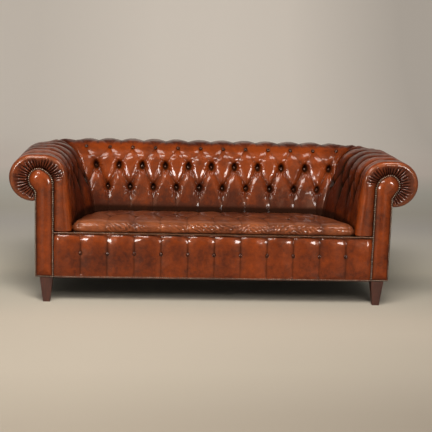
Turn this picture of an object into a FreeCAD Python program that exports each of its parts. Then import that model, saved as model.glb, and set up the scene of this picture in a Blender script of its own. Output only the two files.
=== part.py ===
"""A three-seat chesterfield sofa: beech frame, sprung seat, deep-buttoned leather covers and tapered legs.

Millimetres. The origin is on the floor under the middle of the sofa, +Z is up, the sofa faces -Y and +X is
to the right of someone who looks at its front.
"""

import FreeCAD, Part
import math
import os
from FreeCAD import Vector

os.makedirs("parts", exist_ok=True)

# Overall sizes
overall_width = 2000.0
overall_depth = 890.0
overall_height = 730.0

# Running clearances
seat_gap = 0.3
mitre_gap = 0.6
border_gap = 1.0
panel_gap = 1.5
leg_gap = 2.0
spring_gap = 2.0

# Rolls of the arms and the back: a flat-topped scroll that overhangs the outside panels
roll_radius = 114.0
roll_flat = 52.0
roll_overhang = 123.0
panel_thickness = 5.0

# Legs
leg_height = 126.0
leg_top_width = 62.0
leg_foot_width = 34.0
leg_inset = 179.0
front_leg_setback = 39.0
rear_leg_rake = 30.0
stud_radius = 5.0
stud_length = 90.0
stud_hole_spare = 2.0

# Beech frame
board_thickness = 30.0
rail_thickness = 32.0
rail_height = 108.0
front_rail_setback = 9.0
post_width = 59.5
centre_post_width = 50.0
centre_post_space = 540.0
top_rail_offset = 98.0
top_rail_edge = 19.0
tack_rail_height = 45.0
tack_rail_bottom = 330.0
stretcher_width = 45.0
stretcher_height = 60.0
corner_block_height = 50.0
corner_block_bottom = 152.0
corner_block_reach = 92.0
corner_block_nose = 6.0
lining_notch_front = 33.0
lining_notch_rear = 36.0

# Front facing of each arm
facing_inset = 215.0
facing_width = 92.0
facing_depth = 24.0
facing_crown = 8.0
facing_crown_inset = 12.0
bulb_radius = 57.0
bulb_offset = 68.0
bulb_drop = 6.0
shoulder_drop = 20.0
shoulder_swell = 0.33
neck_angle = -50.0
neck_length = 24.0
neck_bow_drop = 10.5
neck_bow_share = 0.3
border_front_setback = 11.0
border_rounding = 14.0
border_inner_step = 3.0
border_foot_step = 3.0
border_tuck = 1.0
ruche_count = 28
ruche_depth = 6.0
ruche_start = 186.0
ruche_end = -74.0

# Seat
seat_side_gap = 5.0
seat_back_gap = 6.0
seat_end_depth = 12.0
welt_height = 350.0
welt_radius = 5.0
seat_front_height = 411.0
seat_rear_height = 376.0
seat_row_one_setback = 240.0
seat_row_two_setback = 390.0
lip_setback = 15.0
lip_thickness = 22.0
lip_foot_step = 3.0
lip_bulge = 2.0
lip_bulge_rise = 27.0
lip_bulge_swell = 4.0
lip_brow_step = 9.0
lip_top_step = 40.0
seat_crown_setback = 53.0
seat_rear_flat = 50.0
seat_rear_drop = 12.0
seat_pad_top = 349.5
spring_height = 180.0
spring_radius = 40.0
spring_waist = 26.0
spring_wire = 4.0
spring_turns = 3
spring_sides = 6
spring_count = 6
spring_side_space = 54.0
spring_front_space = 195.0
spring_rear_space = 405.0
hessian_thickness = 1.5
web_thickness = 2.0
web_width = 50.0
web_count_across = 4
back_web_pitch = 185.0
back_web_count = 7
strap_reach = 14.0
arm_web_share = 0.33
edge_wire = 6.0

# Fluted front
crest_setback = 7.0
front_thickness = 18.0
front_foot_setback = 4.0
front_head_setback = 7.0
front_end_depth = 3.0
band_height = 10.0
band_start = 0.7
band_thickness = 3.0
flute_foot = 7.0
flute_head = 14.0
flute_foot_depth = 5.0
flute_head_depth = 6.0
flute_button_rise = 14.0
welt_setback = 2.0

# Buttoned leather
cover_thickness = 50.0
stuffing_thickness = 40.0
back_button_space = 125.0
arm_button_space = 120.0
flute_space = 131.0
back_end_space = 312.5
arm_front_space = 77.0
arm_rear_space = 278.7
flute_end_space = 130.0
cells_per_pitch = 6
crown_share = 0.27
corner_margin = 34.0
upper_pit_share = 0.75
top_pit_share = 0.6
back_pit_depth = 36.0
arm_pit_depth = 32.0
seat_pit_depth = 14.0
flute_pit_depth = 9.0
pleat_depth = 16.0
roll_pleat_depth = 9.0
face_end_depth = 26.0
roll_end_depth = 10.0
end_reach = 55.0
button_radius = 8.0
button_tail = 1.0
button_face = 5.0
button_crown = 3.0
button_sides = 6

# Rows of buttons, as heights on the inside faces and angles round the rolls
face_bottom = 352.0
back_bottom_offset = 333.0
arm_bottom_offset = 305.0
back_row_three_drop = 123.0
back_row_two = -6.0
back_row_one = 50.0
arm_row_two_drop = 96.0
arm_row_one = 7.0
roll_end_angle = 274.0

# Sizes that follow
half_width = overall_width / 2
front_y = -overall_depth / 2
rear_y = overall_depth / 2
roll_centre_z = overall_height - roll_radius
roll_width = 2 * roll_radius + roll_flat
back_row_three = roll_centre_z - back_row_three_drop
arm_row_two = roll_centre_z - arm_row_two_drop
facing_inner_x = half_width - facing_inset
bulb_centre_x = facing_inner_x + bulb_offset
bulb_centre_z = roll_centre_z - bulb_drop
leg_centre_x = half_width - leg_inset
seat_half_width = half_width - arm_bottom_offset - seat_side_gap
seat_rear_y = rear_y - back_bottom_offset - seat_back_gap
seat_row_one_y = front_y + seat_row_one_setback
seat_row_two_y = front_y + seat_row_two_setback
lip_y = front_y + lip_setback
panel_outer_x = half_width - roll_overhang
panel_outer_y = rear_y - roll_overhang
frame_offset = roll_overhang + panel_thickness + seat_gap
frame_outer_x = half_width - frame_offset
frame_rear_y = rear_y - frame_offset
frame_top = leg_height + rail_height
facing_back_y = front_y + facing_depth
board_front_y = facing_back_y + seat_gap
board_back_y = board_front_y + board_thickness
facing_outer_x = facing_inner_x + facing_width
post_inner_x = frame_outer_x - post_width
post_front_y = frame_rear_y - post_width
leg_front_y = front_y + front_leg_setback
leg_rear_y = frame_rear_y - post_width / 2
front_rail_front_y = board_front_y + front_rail_setback
front_rail_back_y = front_rail_front_y + rail_thickness
rear_rail_front_y = frame_rear_y - rail_thickness
padding_depth = cover_thickness + stuffing_thickness
hessian_depth = padding_depth + seat_gap
web_depth = hessian_depth + hessian_thickness + seat_gap
lining_depth = web_depth + web_thickness + seat_gap
half_rail = roll_radius - padding_depth - seat_gap
top_rail_bottom = roll_centre_z - half_rail
top_rail_top = roll_centre_z + half_rail
tack_rail_top = tack_rail_bottom + tack_rail_height
border_bottom = welt_height + welt_radius + border_gap
spring_bottom = leg_height
spring_top = spring_bottom + spring_height


def export(name, *solids):
    """Writes one sub-part, as one solid or as a group of separate solids."""
    shape = solids[0] if len(solids) == 1 else Part.makeCompound(list(solids))
    shape.exportStep("parts/" + name + ".step")


def box(x0, x1, y0, y1, z0, z1):
    """A block between two corners."""
    return Part.makeBox(x1 - x0, y1 - y0, z1 - z0, Vector(x0, y0, z0))


def mirrored(shape):
    """The same piece for the other arm."""
    return shape.mirror(Vector(0, 0, 0), Vector(1, 0, 0))


def export_pair(name, *right_solids):
    """Writes a right-hand sub-part and its mirror image."""
    export(name + "_right", *right_solids)
    export(name + "_left", *[mirrored(s) for s in right_solids])


def closed_wire(points):
    """Straight edges through the points and back to the first."""
    return Part.makePolygon(list(points) + [points[0]])


def prism(points, direction):
    """A flat outline pushed along a direction."""
    return Part.Face(closed_wire(points)).extrude(direction)


def skin(rings):
    """A solid with flat faces through closed rings of equally many points.

    Each point is (place, depth). A four-sided gap between rings is creased along its deeper diagonal.
    """
    faces = []
    for low, high in zip(rings[:-1], rings[1:]):
        for k in range(len(low)):
            a, b = low[k - 1], low[k]
            c, d = high[k], high[k - 1]
            if a[1] + c[1] >= b[1] + d[1]:
                corners = ((a, b, c), (a, c, d))
            else:
                corners = ((a, b, d), (b, c, d))
            faces += [Part.Face(closed_wire([p[0] for p in three])) for three in corners]
    for ring in (rings[0], rings[-1]):
        faces.append(Part.Face(closed_wire([p[0] for p in ring])))
    shell = Part.makeShell(faces)
    shell.sewShape()
    solid = Part.makeSolid(shell)
    if solid.Volume < 0:
        solid.reverse()
    return solid.removeSplitter()


def plain_skin(rings):
    """A skin through rings of places without depths."""
    return skin([[(place, 0.0) for place in ring] for ring in rings])


# The section of the rolls, shared by the arms and the back


class Station:
    """One place along the section of a roll: a point of its outer line, and the way into the padding.

    offset is measured in from the sofa's outside, so that arms and back share one section.
    """

    def __init__(self, offset, z, way_offset, way_z):
        self.offset = offset
        self.z = z
        self.way_offset = way_offset
        self.way_z = way_z

    def at(self, depth):
        """Offset and height of the point that lies depth under the outer line."""
        return self.offset + depth * self.way_offset, self.z + depth * self.way_z


def face_station(z, bottom_offset):
    """A place on the inside face, which leans from the seat up to the roll."""
    run = roll_width - bottom_offset
    rise = roll_centre_z - face_bottom
    length = math.hypot(run, rise)
    offset = bottom_offset + run * (z - face_bottom) / rise
    return Station(offset, z, -rise / length, run / length)


def face_offset(z, depth, bottom_offset):
    """Offset of the place that lies depth under the inside face, at height z."""
    way_z = face_station(z, bottom_offset).way_z
    return face_station(z - depth * way_z, bottom_offset).at(depth)[0]


def roll_station(angle):
    """A place on the roll: 0 degrees looks into the sofa, 90 up and 180 out."""
    turn = math.radians(angle)
    centre = roll_width - roll_radius if angle < 90 else roll_radius
    offset = centre + roll_radius * math.cos(turn)
    z = roll_centre_z + roll_radius * math.sin(turn)
    return Station(offset, z, -math.cos(turn), -math.sin(turn))


def top_station():
    """The middle of the roll's flat top."""
    return Station(roll_width / 2, overall_height, 0.0, -1.0)


# Buttoned leather


def pleat(away, phase, depth):
    """Depth of the leather at a place.

    away is the distance to the nearest button column in pitches, from 0 to a half. The pleat lies on the
    column in phase 0 and half-way between two columns in phase 1.
    """
    share = abs(away - phase / 2) / crown_share
    return depth * max(0.0, 1.0 - share) ** 2


def tuft_line(columns, low, high, phase, depth, end_depths):
    """Places and depths along one section of buttoned leather, whose two ends are drawn in by end_depths."""
    marks = [low] + list(columns) + [high]
    spans = len(marks) - 1
    line = []
    for k in range(spans):
        outermost = k in (0, spans - 1)
        cells = cells_per_pitch // 2 if outermost else cells_per_pitch
        for c in range(cells):
            share = c / cells
            away = min(share, 1 - share)
            if k == 0:
                away = (1 - share) / 2
            if k == spans - 1:
                away = share / 2
            line.append((marks[k] + (marks[k + 1] - marks[k]) * share, pleat(away, phase, depth)))
    line.append((high, pleat(0.5, phase, depth)))
    drawn = []
    for place, deep in line:
        for end, end_depth in ((low, end_depths[0]), (high, end_depths[1])):
            deep = max(deep, end_depth * max(0.0, 1.0 - abs(place - end) / end_reach) ** 2)
        drawn.append((place, deep))
    return drawn


def tuft_ring(line, core, point_at):
    """A closed section: the buttoned line outside and two core corners inside, each (place, depth)."""
    return [(point_at(place, deep), deep) for place, deep in line + [core[1], core[0]]]


def squeezed(columns, low, high, margin):
    """The columns, kept clear of the ends."""
    return [min(max(c, low + margin), high - margin) for c in columns]


def tuft_rows(first, second, steps, first_phase, first_depth, second_depth):
    """Sections from one row of buttons up to the next: (share of the way, phase, depth)."""
    rows = []
    for k in range(steps):
        share = k / steps
        phase = share if first_phase == 0 else 1 - share
        deepest = first_depth + (second_depth - first_depth) * share
        rise = abs(2 * share - 1) ** 2
        rows.append((first + (second - first) * share, phase, pleat_depth + (deepest - pleat_depth) * rise))
    return rows


def spaced(first, last, space):
    """Places from first to last, as near as they can be to the wanted space apart."""
    count = max(1, round((last - first) / space))
    return [first + (last - first) * k / count for k in range(count + 1)]


def back_columns():
    """Button columns of the back, symmetric about the middle."""
    reach = half_width - back_end_space
    return spaced(-reach, reach, back_button_space)


def arm_columns():
    """Button columns of an arm, from the front border to the corner."""
    return spaced(board_back_y + arm_front_space, rear_y - arm_rear_space, arm_button_space)


def flute_columns():
    """Flutes across the front and the seat."""
    reach = facing_inner_x - flute_end_space
    return spaced(-reach, reach, flute_space)


def back_point(station):
    """Places (along X, depth) of one section of the back."""

    def place(x, depth):
        offset, z = station.at(depth)
        return Vector(x, rear_y - offset, z)

    return place


def back_end(station, depth):
    """Where the back stops at the 45 degree mitre."""
    return half_width - station.at(depth)[0] - mitre_gap


def back_ring(station, phase, depth, end_depth):
    """A buttoned section of the back, from mitre to mitre."""
    reach = back_end(station, end_depth)
    columns = squeezed(back_columns(), -reach, reach, corner_margin)
    line = tuft_line(columns, -reach, reach, phase, depth, (end_depth, end_depth))
    core = back_end(station, cover_thickness)
    corners = ((-core, cover_thickness), (core, cover_thickness))
    return tuft_ring(line, corners, back_point(station))


def arm_point(station):
    """Places (along Y, depth) of one section of the right arm."""

    def place(y, depth):
        offset, z = station.at(depth)
        return Vector(half_width - offset, y, z)

    return place


def arm_end(station, depth):
    """Where the arm stops at the 45 degree mitre."""
    return rear_y - station.at(depth)[0] - mitre_gap


def arm_ring(station, phase, depth, end_depth):
    """A buttoned section of the right arm, from the front board to the mitre."""
    front = board_back_y + seat_gap
    reach = arm_end(station, end_depth)
    columns = squeezed(arm_columns(), front, reach, corner_margin)
    line = tuft_line(columns, front, reach, phase, depth, (roll_pleat_depth, end_depth))
    core = arm_end(station, cover_thickness)
    corners = ((front, cover_thickness), (core, cover_thickness))
    return tuft_ring(line, corners, arm_point(station))


def over_the_roll(phase):
    """Plain cross pleats over the top and the outside of the roll."""
    sections = [(top_station(), phase, roll_pleat_depth, roll_end_depth)]
    for k in range(1, 8):
        angle = 100 + (roll_end_angle - 100) * (k - 1) / 6
        sections.append((roll_station(angle), phase, roll_pleat_depth, roll_end_depth))
    return sections


def back_sections():
    """The back from the seat over the roll to its underside: (station, phase, depth, end depth)."""
    lean = back_bottom_offset
    row_two = roll_station(back_row_two)
    row_two_z = row_two.z
    halfway = face_station((face_bottom + back_row_three) / 2, lean)
    sections = [(face_station(face_bottom, lean), 0.0, roll_pleat_depth, face_end_depth)]
    sections.append((halfway, 0.0, pleat_depth, face_end_depth))
    for z, phase, depth in tuft_rows(back_row_three, row_two_z, 3, 0, back_pit_depth, back_pit_depth):
        sections.append((face_station(z, lean), phase, depth, face_end_depth))
    upper = back_pit_depth * upper_pit_share
    for angle, phase, depth in tuft_rows(back_row_two, back_row_one, 3, 1, back_pit_depth, upper):
        sections.append((roll_station(angle), phase, depth, face_end_depth))
    for angle, phase, depth in tuft_rows(back_row_one, 90.0, 2, 0, upper, upper * top_pit_share):
        sections.append((roll_station(angle), phase, depth, roll_end_depth))
    return sections + over_the_roll(1.0)


def arm_sections():
    """An arm from the seat over the roll to its underside: (station, phase, depth, end depth)."""
    lean = arm_bottom_offset
    row_one_z = roll_station(arm_row_one).z
    halfway = face_station((face_bottom + arm_row_two) / 2, lean)
    sections = [(face_station(face_bottom, lean), 1.0, roll_pleat_depth, face_end_depth)]
    sections.append((halfway, 1.0, pleat_depth, face_end_depth))
    for z, phase, depth in tuft_rows(arm_row_two, row_one_z, 3, 1, arm_pit_depth, arm_pit_depth):
        sections.append((face_station(z, lean), phase, depth, face_end_depth))
    sections.append((roll_station(arm_row_one), 0.0, arm_pit_depth, face_end_depth))
    sections.append((roll_station(34), 0.0, pleat_depth, roll_end_depth))
    sections.append((roll_station(62), 0.0, roll_pleat_depth, roll_end_depth))
    return sections + over_the_roll(0.0)


def layer_ring(station, outer, inner, point_at, ends_at):
    """A plain layer under the leather, between two depths."""
    (a, b), (c, d) = ends_at(station, outer), ends_at(station, inner)
    return [point_at(station)(*spot) for spot in ((a, outer), (b, outer), (d, inner), (c, inner))]


def back_ends(station, depth):
    """Both ends of the back at a depth."""
    return -back_end(station, depth), back_end(station, depth)


def arm_ends(station, depth):
    """Both ends of the right arm at a depth."""
    return board_back_y + seat_gap, arm_end(station, depth)


def button(bottom, outward, depth, columns):
    """A covered button, drawn into a pit: its back follows the sides of the pit down to the stitch."""
    cell = (columns[1] - columns[0]) / cells_per_pitch
    rise = (depth - pleat(1 / cells_per_pitch, 0.0, depth)) / cell
    lift = seat_gap * math.sqrt(1 + rise**2)
    side = outward.cross(Vector(0, 1, 0))
    if side.Length < 0.1:
        side = outward.cross(Vector(1, 0, 0))
    side.normalize()
    other = outward.cross(side)
    rim = lift + button_radius * rise
    tail = lift + button_tail * rise
    rings = []
    for radius, height in ((button_tail, tail), (button_radius, rim), (button_face, rim + button_crown)):
        ring = []
        for k in range(button_sides):
            turn = 2 * math.pi * k / button_sides
            spoke = side * (radius * math.cos(turn)) + other * (radius * math.sin(turn))
            ring.append(bottom + outward * height + spoke)
        rings.append(ring)
    return plain_skin(rings)


def buttons_in(row, places, point_at, depth, columns):
    """The buttons of one row."""
    made = []
    for place in places:
        bottom = point_at(row)(place, depth)
        outward = (point_at(row)(place, 0.0) - bottom).normalize()
        made.append(button(bottom, outward, depth, columns))
    return made


def between(columns):
    """Half-way places between neighbouring columns."""
    return [(columns[k] + columns[k + 1]) / 2 for k in range(len(columns) - 1)]


def make_back():
    """The buttoned inside back, its stuffing and its buttons."""
    sections = back_sections()
    export("inside_back_cover", skin([back_ring(*section) for section in sections]))
    outer, inner = cover_thickness + seat_gap, padding_depth
    rings = [layer_ring(section[0], outer, inner, back_point, back_ends) for section in sections]
    export("back_stuffing", plain_skin(rings))
    columns = back_columns()
    upper = back_pit_depth * upper_pit_share
    buttons = []
    low_row = face_station(back_row_three, back_bottom_offset)
    buttons += buttons_in(low_row, columns[1:-1], back_point, back_pit_depth, columns)
    buttons += buttons_in(roll_station(back_row_two), between(columns), back_point, back_pit_depth, columns)
    buttons += buttons_in(roll_station(back_row_one), columns, back_point, upper, columns)
    buttons += buttons_in(top_station(), between(columns), back_point, roll_pleat_depth, columns)
    export("back_buttons", *buttons)


def make_arms():
    """The buttoned inside arms, their stuffing and buttons."""
    sections = arm_sections()
    export_pair("inside_arm_cover", skin([arm_ring(*section) for section in sections]))
    outer, inner = cover_thickness + seat_gap, padding_depth
    rings = [layer_ring(section[0], outer, inner, arm_point, arm_ends) for section in sections]
    export_pair("arm_stuffing", plain_skin(rings))
    columns = arm_columns()
    low_row = face_station(arm_row_two, arm_bottom_offset)
    buttons = buttons_in(low_row, between(columns[:-1]), arm_point, arm_pit_depth, columns)
    buttons += buttons_in(roll_station(arm_row_one), columns[:-1], arm_point, arm_pit_depth, columns)
    export_pair("arm_buttons", *buttons)


# Front facings and the pleated borders round them


def arc(a, b, c):
    """An arc edge through three (x, z) places, on the plane y = 0."""
    return Part.Arc(Vector(a[0], 0, a[1]), Vector(b[0], 0, b[1]), Vector(c[0], 0, c[1])).toShape()


def straight(a, b):
    """A straight edge between two (x, z) places, on the plane y = 0."""
    return Part.makeLine(Vector(a[0], 0, a[1]), Vector(b[0], 0, b[1]))


def bulb_place(angle, radius):
    """A place on a circle round the middle of the facing's head."""
    turn = math.radians(angle)
    return bulb_centre_x + radius * math.cos(turn), bulb_centre_z + radius * math.sin(turn)


def facing_outline(inset):
    """The right facing seen from the front: a straight strip with a round head that leans outward."""
    radius = bulb_radius - inset
    inner = facing_inner_x + inset
    outer = facing_outer_x - inset
    neck_end = bulb_place(neck_angle, radius)
    top = bulb_place(90, radius)
    shoulder = (inner, bulb_centre_z - shoulder_drop)
    chord_middle = ((shoulder[0] + top[0]) / 2, (shoulder[1] + top[1]) / 2)
    bow = (
        chord_middle[0] - shoulder_swell * (top[1] - chord_middle[1]),
        chord_middle[1] + shoulder_swell * (chord_middle[0] - shoulder[0]),
    )
    neck_foot = (outer, neck_end[1] - neck_length)
    neck_bow = (outer + neck_bow_share * (neck_end[0] - outer), neck_end[1] - neck_bow_drop)
    edges = [
        straight((inner, leg_height), shoulder),
        arc(shoulder, bow, top),
        arc(top, bulb_place(45, radius), bulb_place(0, radius)),
        arc(bulb_place(0, radius), bulb_place(neck_angle / 2, radius), neck_end),
        arc(neck_end, neck_bow, neck_foot),
        straight(neck_foot, (outer, leg_height)),
        straight((outer, leg_height), (inner, leg_height)),
    ]
    return Part.Wire(edges)


def moved(shape, y):
    """A copy of a shape, moved along Y."""
    copy = shape.copy()
    copy.translate(Vector(0, y, 0))
    return copy


def make_facing():
    """The leather-covered facing: a flat back and a crowned front."""
    slab = Part.Face(facing_outline(0.0)).extrude(Vector(0, -(facing_depth - facing_crown), 0))
    slab = moved(slab, facing_back_y)
    rim = moved(facing_outline(0.0), front_y + facing_crown)
    front = moved(facing_outline(facing_crown_inset), front_y)
    crown = Part.makeLoft([rim, front], True, True)
    export_pair("arm_facing", slab.fuse(crown).removeSplitter())


def border_outline():
    """The arm's outer line at the front: up the inside, over the roll and back under it to the facing."""
    inner_x = half_width - roll_width
    inner_centre = inner_x + roll_radius
    outer_centre = half_width - roll_radius
    foot = (half_width - arm_bottom_offset + border_foot_step, border_bottom)
    side = (inner_x, roll_centre_z)
    corner = roll_radius * math.sqrt(0.5)
    tuck_x = facing_outer_x - border_tuck
    tuck_z = roll_centre_z - math.sqrt(roll_radius**2 - (outer_centre - tuck_x) ** 2)
    under = (outer_centre, roll_centre_z - roll_radius)
    edges = [
        straight(foot, side),
        arc(side, (inner_centre - corner, roll_centre_z + corner), (inner_centre, overall_height)),
        straight((inner_centre, overall_height), (outer_centre, overall_height)),
        arc((outer_centre, overall_height), (half_width, roll_centre_z), under),
        straight(under, (tuck_x, tuck_z)),
    ]
    return Part.Wire(edges)


def crossing(outline, start, way):
    """Where a line from start along way first meets an outline, as (x, z)."""
    far = 3 * roll_radius
    ray = straight(start, (start[0] + far * way[0], start[1] + far * way[1]))
    hit = outline.distToShape(ray)[1][0][0]
    return hit.x, hit.z


def border_ring(inner, outer, valley):
    """A section of the border between the facing and the arm's outer line, sunk by valley at the facing."""
    inner, outer = Vector(inner[0], 0, inner[1]), Vector(outer[0], 0, outer[1])
    way = (outer - inner).normalize()
    start = inner + way * seat_gap
    width = (outer - start).Length
    front = front_y + border_front_setback
    soft = min(border_rounding, width / 2)
    cut = soft * (1 - math.sqrt(0.5))
    spots = (
        (0.0, board_back_y, 0.0),
        (0.0, front + border_inner_step, valley),
        ((width - soft) / 3, front, 0.8 * valley),
        (width - soft, front, 0.5 * valley),
        (width - cut, front + cut, 0.4 * valley),
        (width, front + soft, 0.0),
        (width, board_back_y, 0.0),
    )
    return [(start + way * across + Vector(0, y + sunk, 0), sunk) for across, y, sunk in spots]


def make_border():
    """The padded border of each arm front, pleated in a fan round the head of the facing."""
    facing = facing_outline(0.0)
    outline = border_outline()
    fan = []
    steps = 2 * ruche_count
    for k in range(steps + 1):
        turn = math.radians(ruche_start + (ruche_end - ruche_start) * k / steps)
        way = (math.cos(turn), math.sin(turn))
        inner = crossing(facing, (bulb_centre_x, bulb_centre_z), way)
        outer = crossing(outline, (bulb_centre_x, bulb_centre_z), way)
        fan.append(border_ring(inner, outer, ruche_depth if k % 2 else 0.0))
    rings = []
    for z in (border_bottom, (border_bottom + bulb_centre_z) / 2):
        outer = crossing(outline, (facing_inner_x, z), (-1.0, 0.0))
        rings.append(border_ring((facing_inner_x, z), outer, 0.0))
    export_pair("arm_scroll_border", skin(rings + fan))


# Seat and front


def tilted_place(y, z, way_y, way_z):
    """Places (along X, depth) of a section whose depth runs along (way_y, way_z)."""
    return lambda x, depth: Vector(x, y + depth * way_y, z + depth * way_z)


def seat_top(y):
    """Height of the seat's crown at y."""
    front = front_y + seat_crown_setback
    return seat_front_height + (seat_rear_height - seat_front_height) * (y - front) / (seat_rear_y - front)


def flat_section(y, phase, depth):
    """A section of the seat's top: (places, thickness, phase, depth)."""
    z = seat_top(y)
    return tilted_place(y, z, 0.0, -1.0), z - seat_pad_top - seat_gap, phase, depth


def seat_sections():
    """The seat's sections: up the front lip, then back over the top."""
    slant = math.sqrt(0.5)
    groove = roll_pleat_depth
    bulge_z = face_bottom + lip_bulge_rise
    brow_z = seat_front_height - lip_brow_step
    first_y = lip_y + lip_top_step
    foot = tilted_place(lip_y + lip_foot_step, face_bottom, 1.0, 0.0)
    bulge = tilted_place(lip_y - lip_bulge, bulge_z, 0.9, -0.4)
    brow = tilted_place(lip_y + lip_brow_step, brow_z, slant, -slant)
    sections = [
        (foot, lip_thickness, 0.0, groove),
        (bulge, lip_thickness + lip_bulge_swell, 0.0, groove),
        (brow, 2 * lip_thickness, 0.0, groove),
        flat_section(first_y, 0.0, groove),
        flat_section((first_y + seat_row_one_y) / 2, 0.0, groove),
    ]
    for y, phase, depth in tuft_rows(seat_row_one_y, seat_row_two_y, 3, 0, seat_pit_depth, seat_pit_depth):
        sections.append(flat_section(y, phase, min(depth, seat_pit_depth)))
    sections.append(flat_section(seat_row_two_y, 1.0, seat_pit_depth))
    sections.append(flat_section(seat_rear_y - seat_rear_flat, 1.0, groove))
    rear = tilted_place(seat_rear_y, seat_rear_height - seat_rear_drop, -0.94, -0.34)
    sections.append((rear, lip_thickness, 1.0, groove / 2))
    return sections


def make_seat():
    """The buttoned seat with its front lip, and its buttons."""
    columns = flute_columns()
    reach = seat_half_width
    ends = (seat_end_depth, seat_end_depth)
    rings = []
    for point_at, thickness, phase, depth in seat_sections():
        crest = tuft_line(columns, -reach, reach, phase, depth, ends)
        rings.append(tuft_ring(crest, ((-reach, thickness), (reach, thickness)), point_at))
    export("seat_cover", skin(rings))
    buttons = []
    for y, places in ((seat_row_one_y, columns[1:-1]), (seat_row_two_y, between(columns))):
        for x in places:
            bottom = Vector(x, y, seat_top(y) - seat_pit_depth)
            buttons.append(button(bottom, Vector(0, 0, 1), seat_pit_depth, columns))
    export("seat_buttons", *buttons)


def make_front_border():
    """The fluted front, its padding, its buttons, the welt above and the banding below."""
    reach = facing_inner_x - seat_gap
    crest = front_y + crest_setback
    top = welt_height - welt_radius - seat_gap
    band_top = leg_height + band_height
    middle = (leg_height + top) / 2 + flute_button_rise
    profile = (
        (leg_height, front_foot_setback, front_end_depth),
        (band_top, front_foot_setback, front_end_depth),
        (band_top + flute_foot, 0.0, flute_foot_depth),
        (middle, 0.0, flute_pit_depth),
        (top - flute_head, 0.0, flute_head_depth),
        (top, front_head_setback, front_end_depth),
    )
    columns = flute_columns()
    ends = (front_end_depth, front_end_depth)
    rings = []
    for z, setback, depth in profile:
        fluted = tuft_line(columns, -reach, reach, 0.0, depth, ends)
        core = front_thickness - setback
        point_at = tilted_place(crest + setback, z, 1.0, 0.0)
        rings.append(tuft_ring(fluted, ((-reach, core), (reach, core)), point_at))
    export("front_border_cover", skin(rings))
    pad_y0 = crest + front_thickness + seat_gap
    pad_y1 = front_rail_front_y - seat_gap
    export("front_border_padding", box(-reach, reach, pad_y0, pad_y1, leg_height, top))
    places = [Vector(x, crest + flute_pit_depth, middle) for x in columns]
    forward = Vector(0, -1, 0)
    export("front_buttons", *[button(p, forward, flute_pit_depth, columns) for p in places])
    welt_end = Vector(-reach, crest + welt_setback, welt_height)
    export("seat_front_welt", Part.makeCylinder(welt_radius, 2 * reach, welt_end, Vector(1, 0, 0)))
    band_y = crest + band_start
    banding = box(-reach, reach, band_y, band_y + band_thickness, leg_height, band_top - border_gap)
    export("front_banding", banding)


# Springs, webbing and linings


def spring(x, y):
    """An hourglass spring of square-sided wire, one unbroken tube from the webbing to the hessian."""
    half = spring_wire / 2
    count = spring_turns * spring_sides
    rings = []
    for k in range(count + 1):
        turn = 2 * math.pi * k / spring_sides - math.pi / 2
        share = k / count
        radius = spring_waist + (spring_radius - spring_waist) * (2 * share - 1) ** 2
        z = spring_bottom + half + (spring_height - spring_wire) * share
        out = Vector(math.cos(turn), math.sin(turn), 0)
        centre = Vector(x, y, z) + out * radius
        up = Vector(0, 0, half)
        side = out * half
        rings.append([centre - side - up, centre + side - up, centre + side + up, centre - side + up])
    return plain_skin(rings)


def make_springing():
    """Webbing under the frame, springs on it, the wire round their tops and the hessian over them."""
    spring_reach = seat_half_width - spring_side_space
    columns = [spring_reach * (2 * k / (spring_count - 1) - 1) for k in range(spring_count)]
    rows = [front_y + spring_front_space, rear_y - spring_rear_space]
    export("seat_springs", *[spring(x, y) for x in columns for y in rows])
    low = leg_height - 2 * web_thickness
    middle = leg_height - web_thickness
    half_web = web_width / 2
    straps = []
    for x in sorted(columns + between(columns)):
        straps.append(box(x - half_web, x + half_web, front_rail_front_y, frame_rear_y, middle, leg_height))
    for k in range(web_count_across):
        share = (k + 1) / (web_count_across + 1)
        y = front_rail_back_y + (rear_rail_front_y - front_rail_back_y) * share
        straps.append(box(-frame_outer_x, frame_outer_x, y - half_web, y + half_web, low, middle))
    export("seat_webbing", *straps)
    around = spring_radius + spring_gap + edge_wire
    x1 = columns[-1] + around
    y0, y1 = rows[0] - around, rows[-1] + around
    z0, z1 = spring_top - edge_wire, spring_top
    inside = box(-x1 + edge_wire, x1 - edge_wire, y0 + edge_wire, y1 - edge_wire, z0 - 1, z1 + 1)
    export("seat_edge_wire", box(-x1, x1, y0, y1, z0, z1).cut(inside))
    sheet_z = z1 + seat_gap
    rear = seat_rear_y + seat_back_gap
    front = lip_y + lip_thickness + seat_gap
    sheet_top = sheet_z + hessian_thickness
    export("seat_hessian", box(-seat_half_width, seat_half_width, front, rear, sheet_z, sheet_top))
    pad_z = sheet_top + seat_gap
    export("seat_stuffing", box(-seat_half_width, seat_half_width, front, rear, pad_z, seat_pad_top))


def strap(outer, thickness, middle, width, lean, point_at):
    """A flat strip of webbing or hessian, held from the tacking rail to the top rail under the stuffing."""
    low = face_station(face_bottom, lean)
    high = face_station(roll_centre_z + strap_reach, lean)
    rings = []
    for station in (low, high):
        place = point_at(station)
        left, right = middle - width / 2, middle + width / 2
        corners = ((left, outer), (right, outer), (right, outer + thickness), (left, outer + thickness))
        rings.append([place(*corner) for corner in corners])
    return plain_skin(rings)


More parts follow.
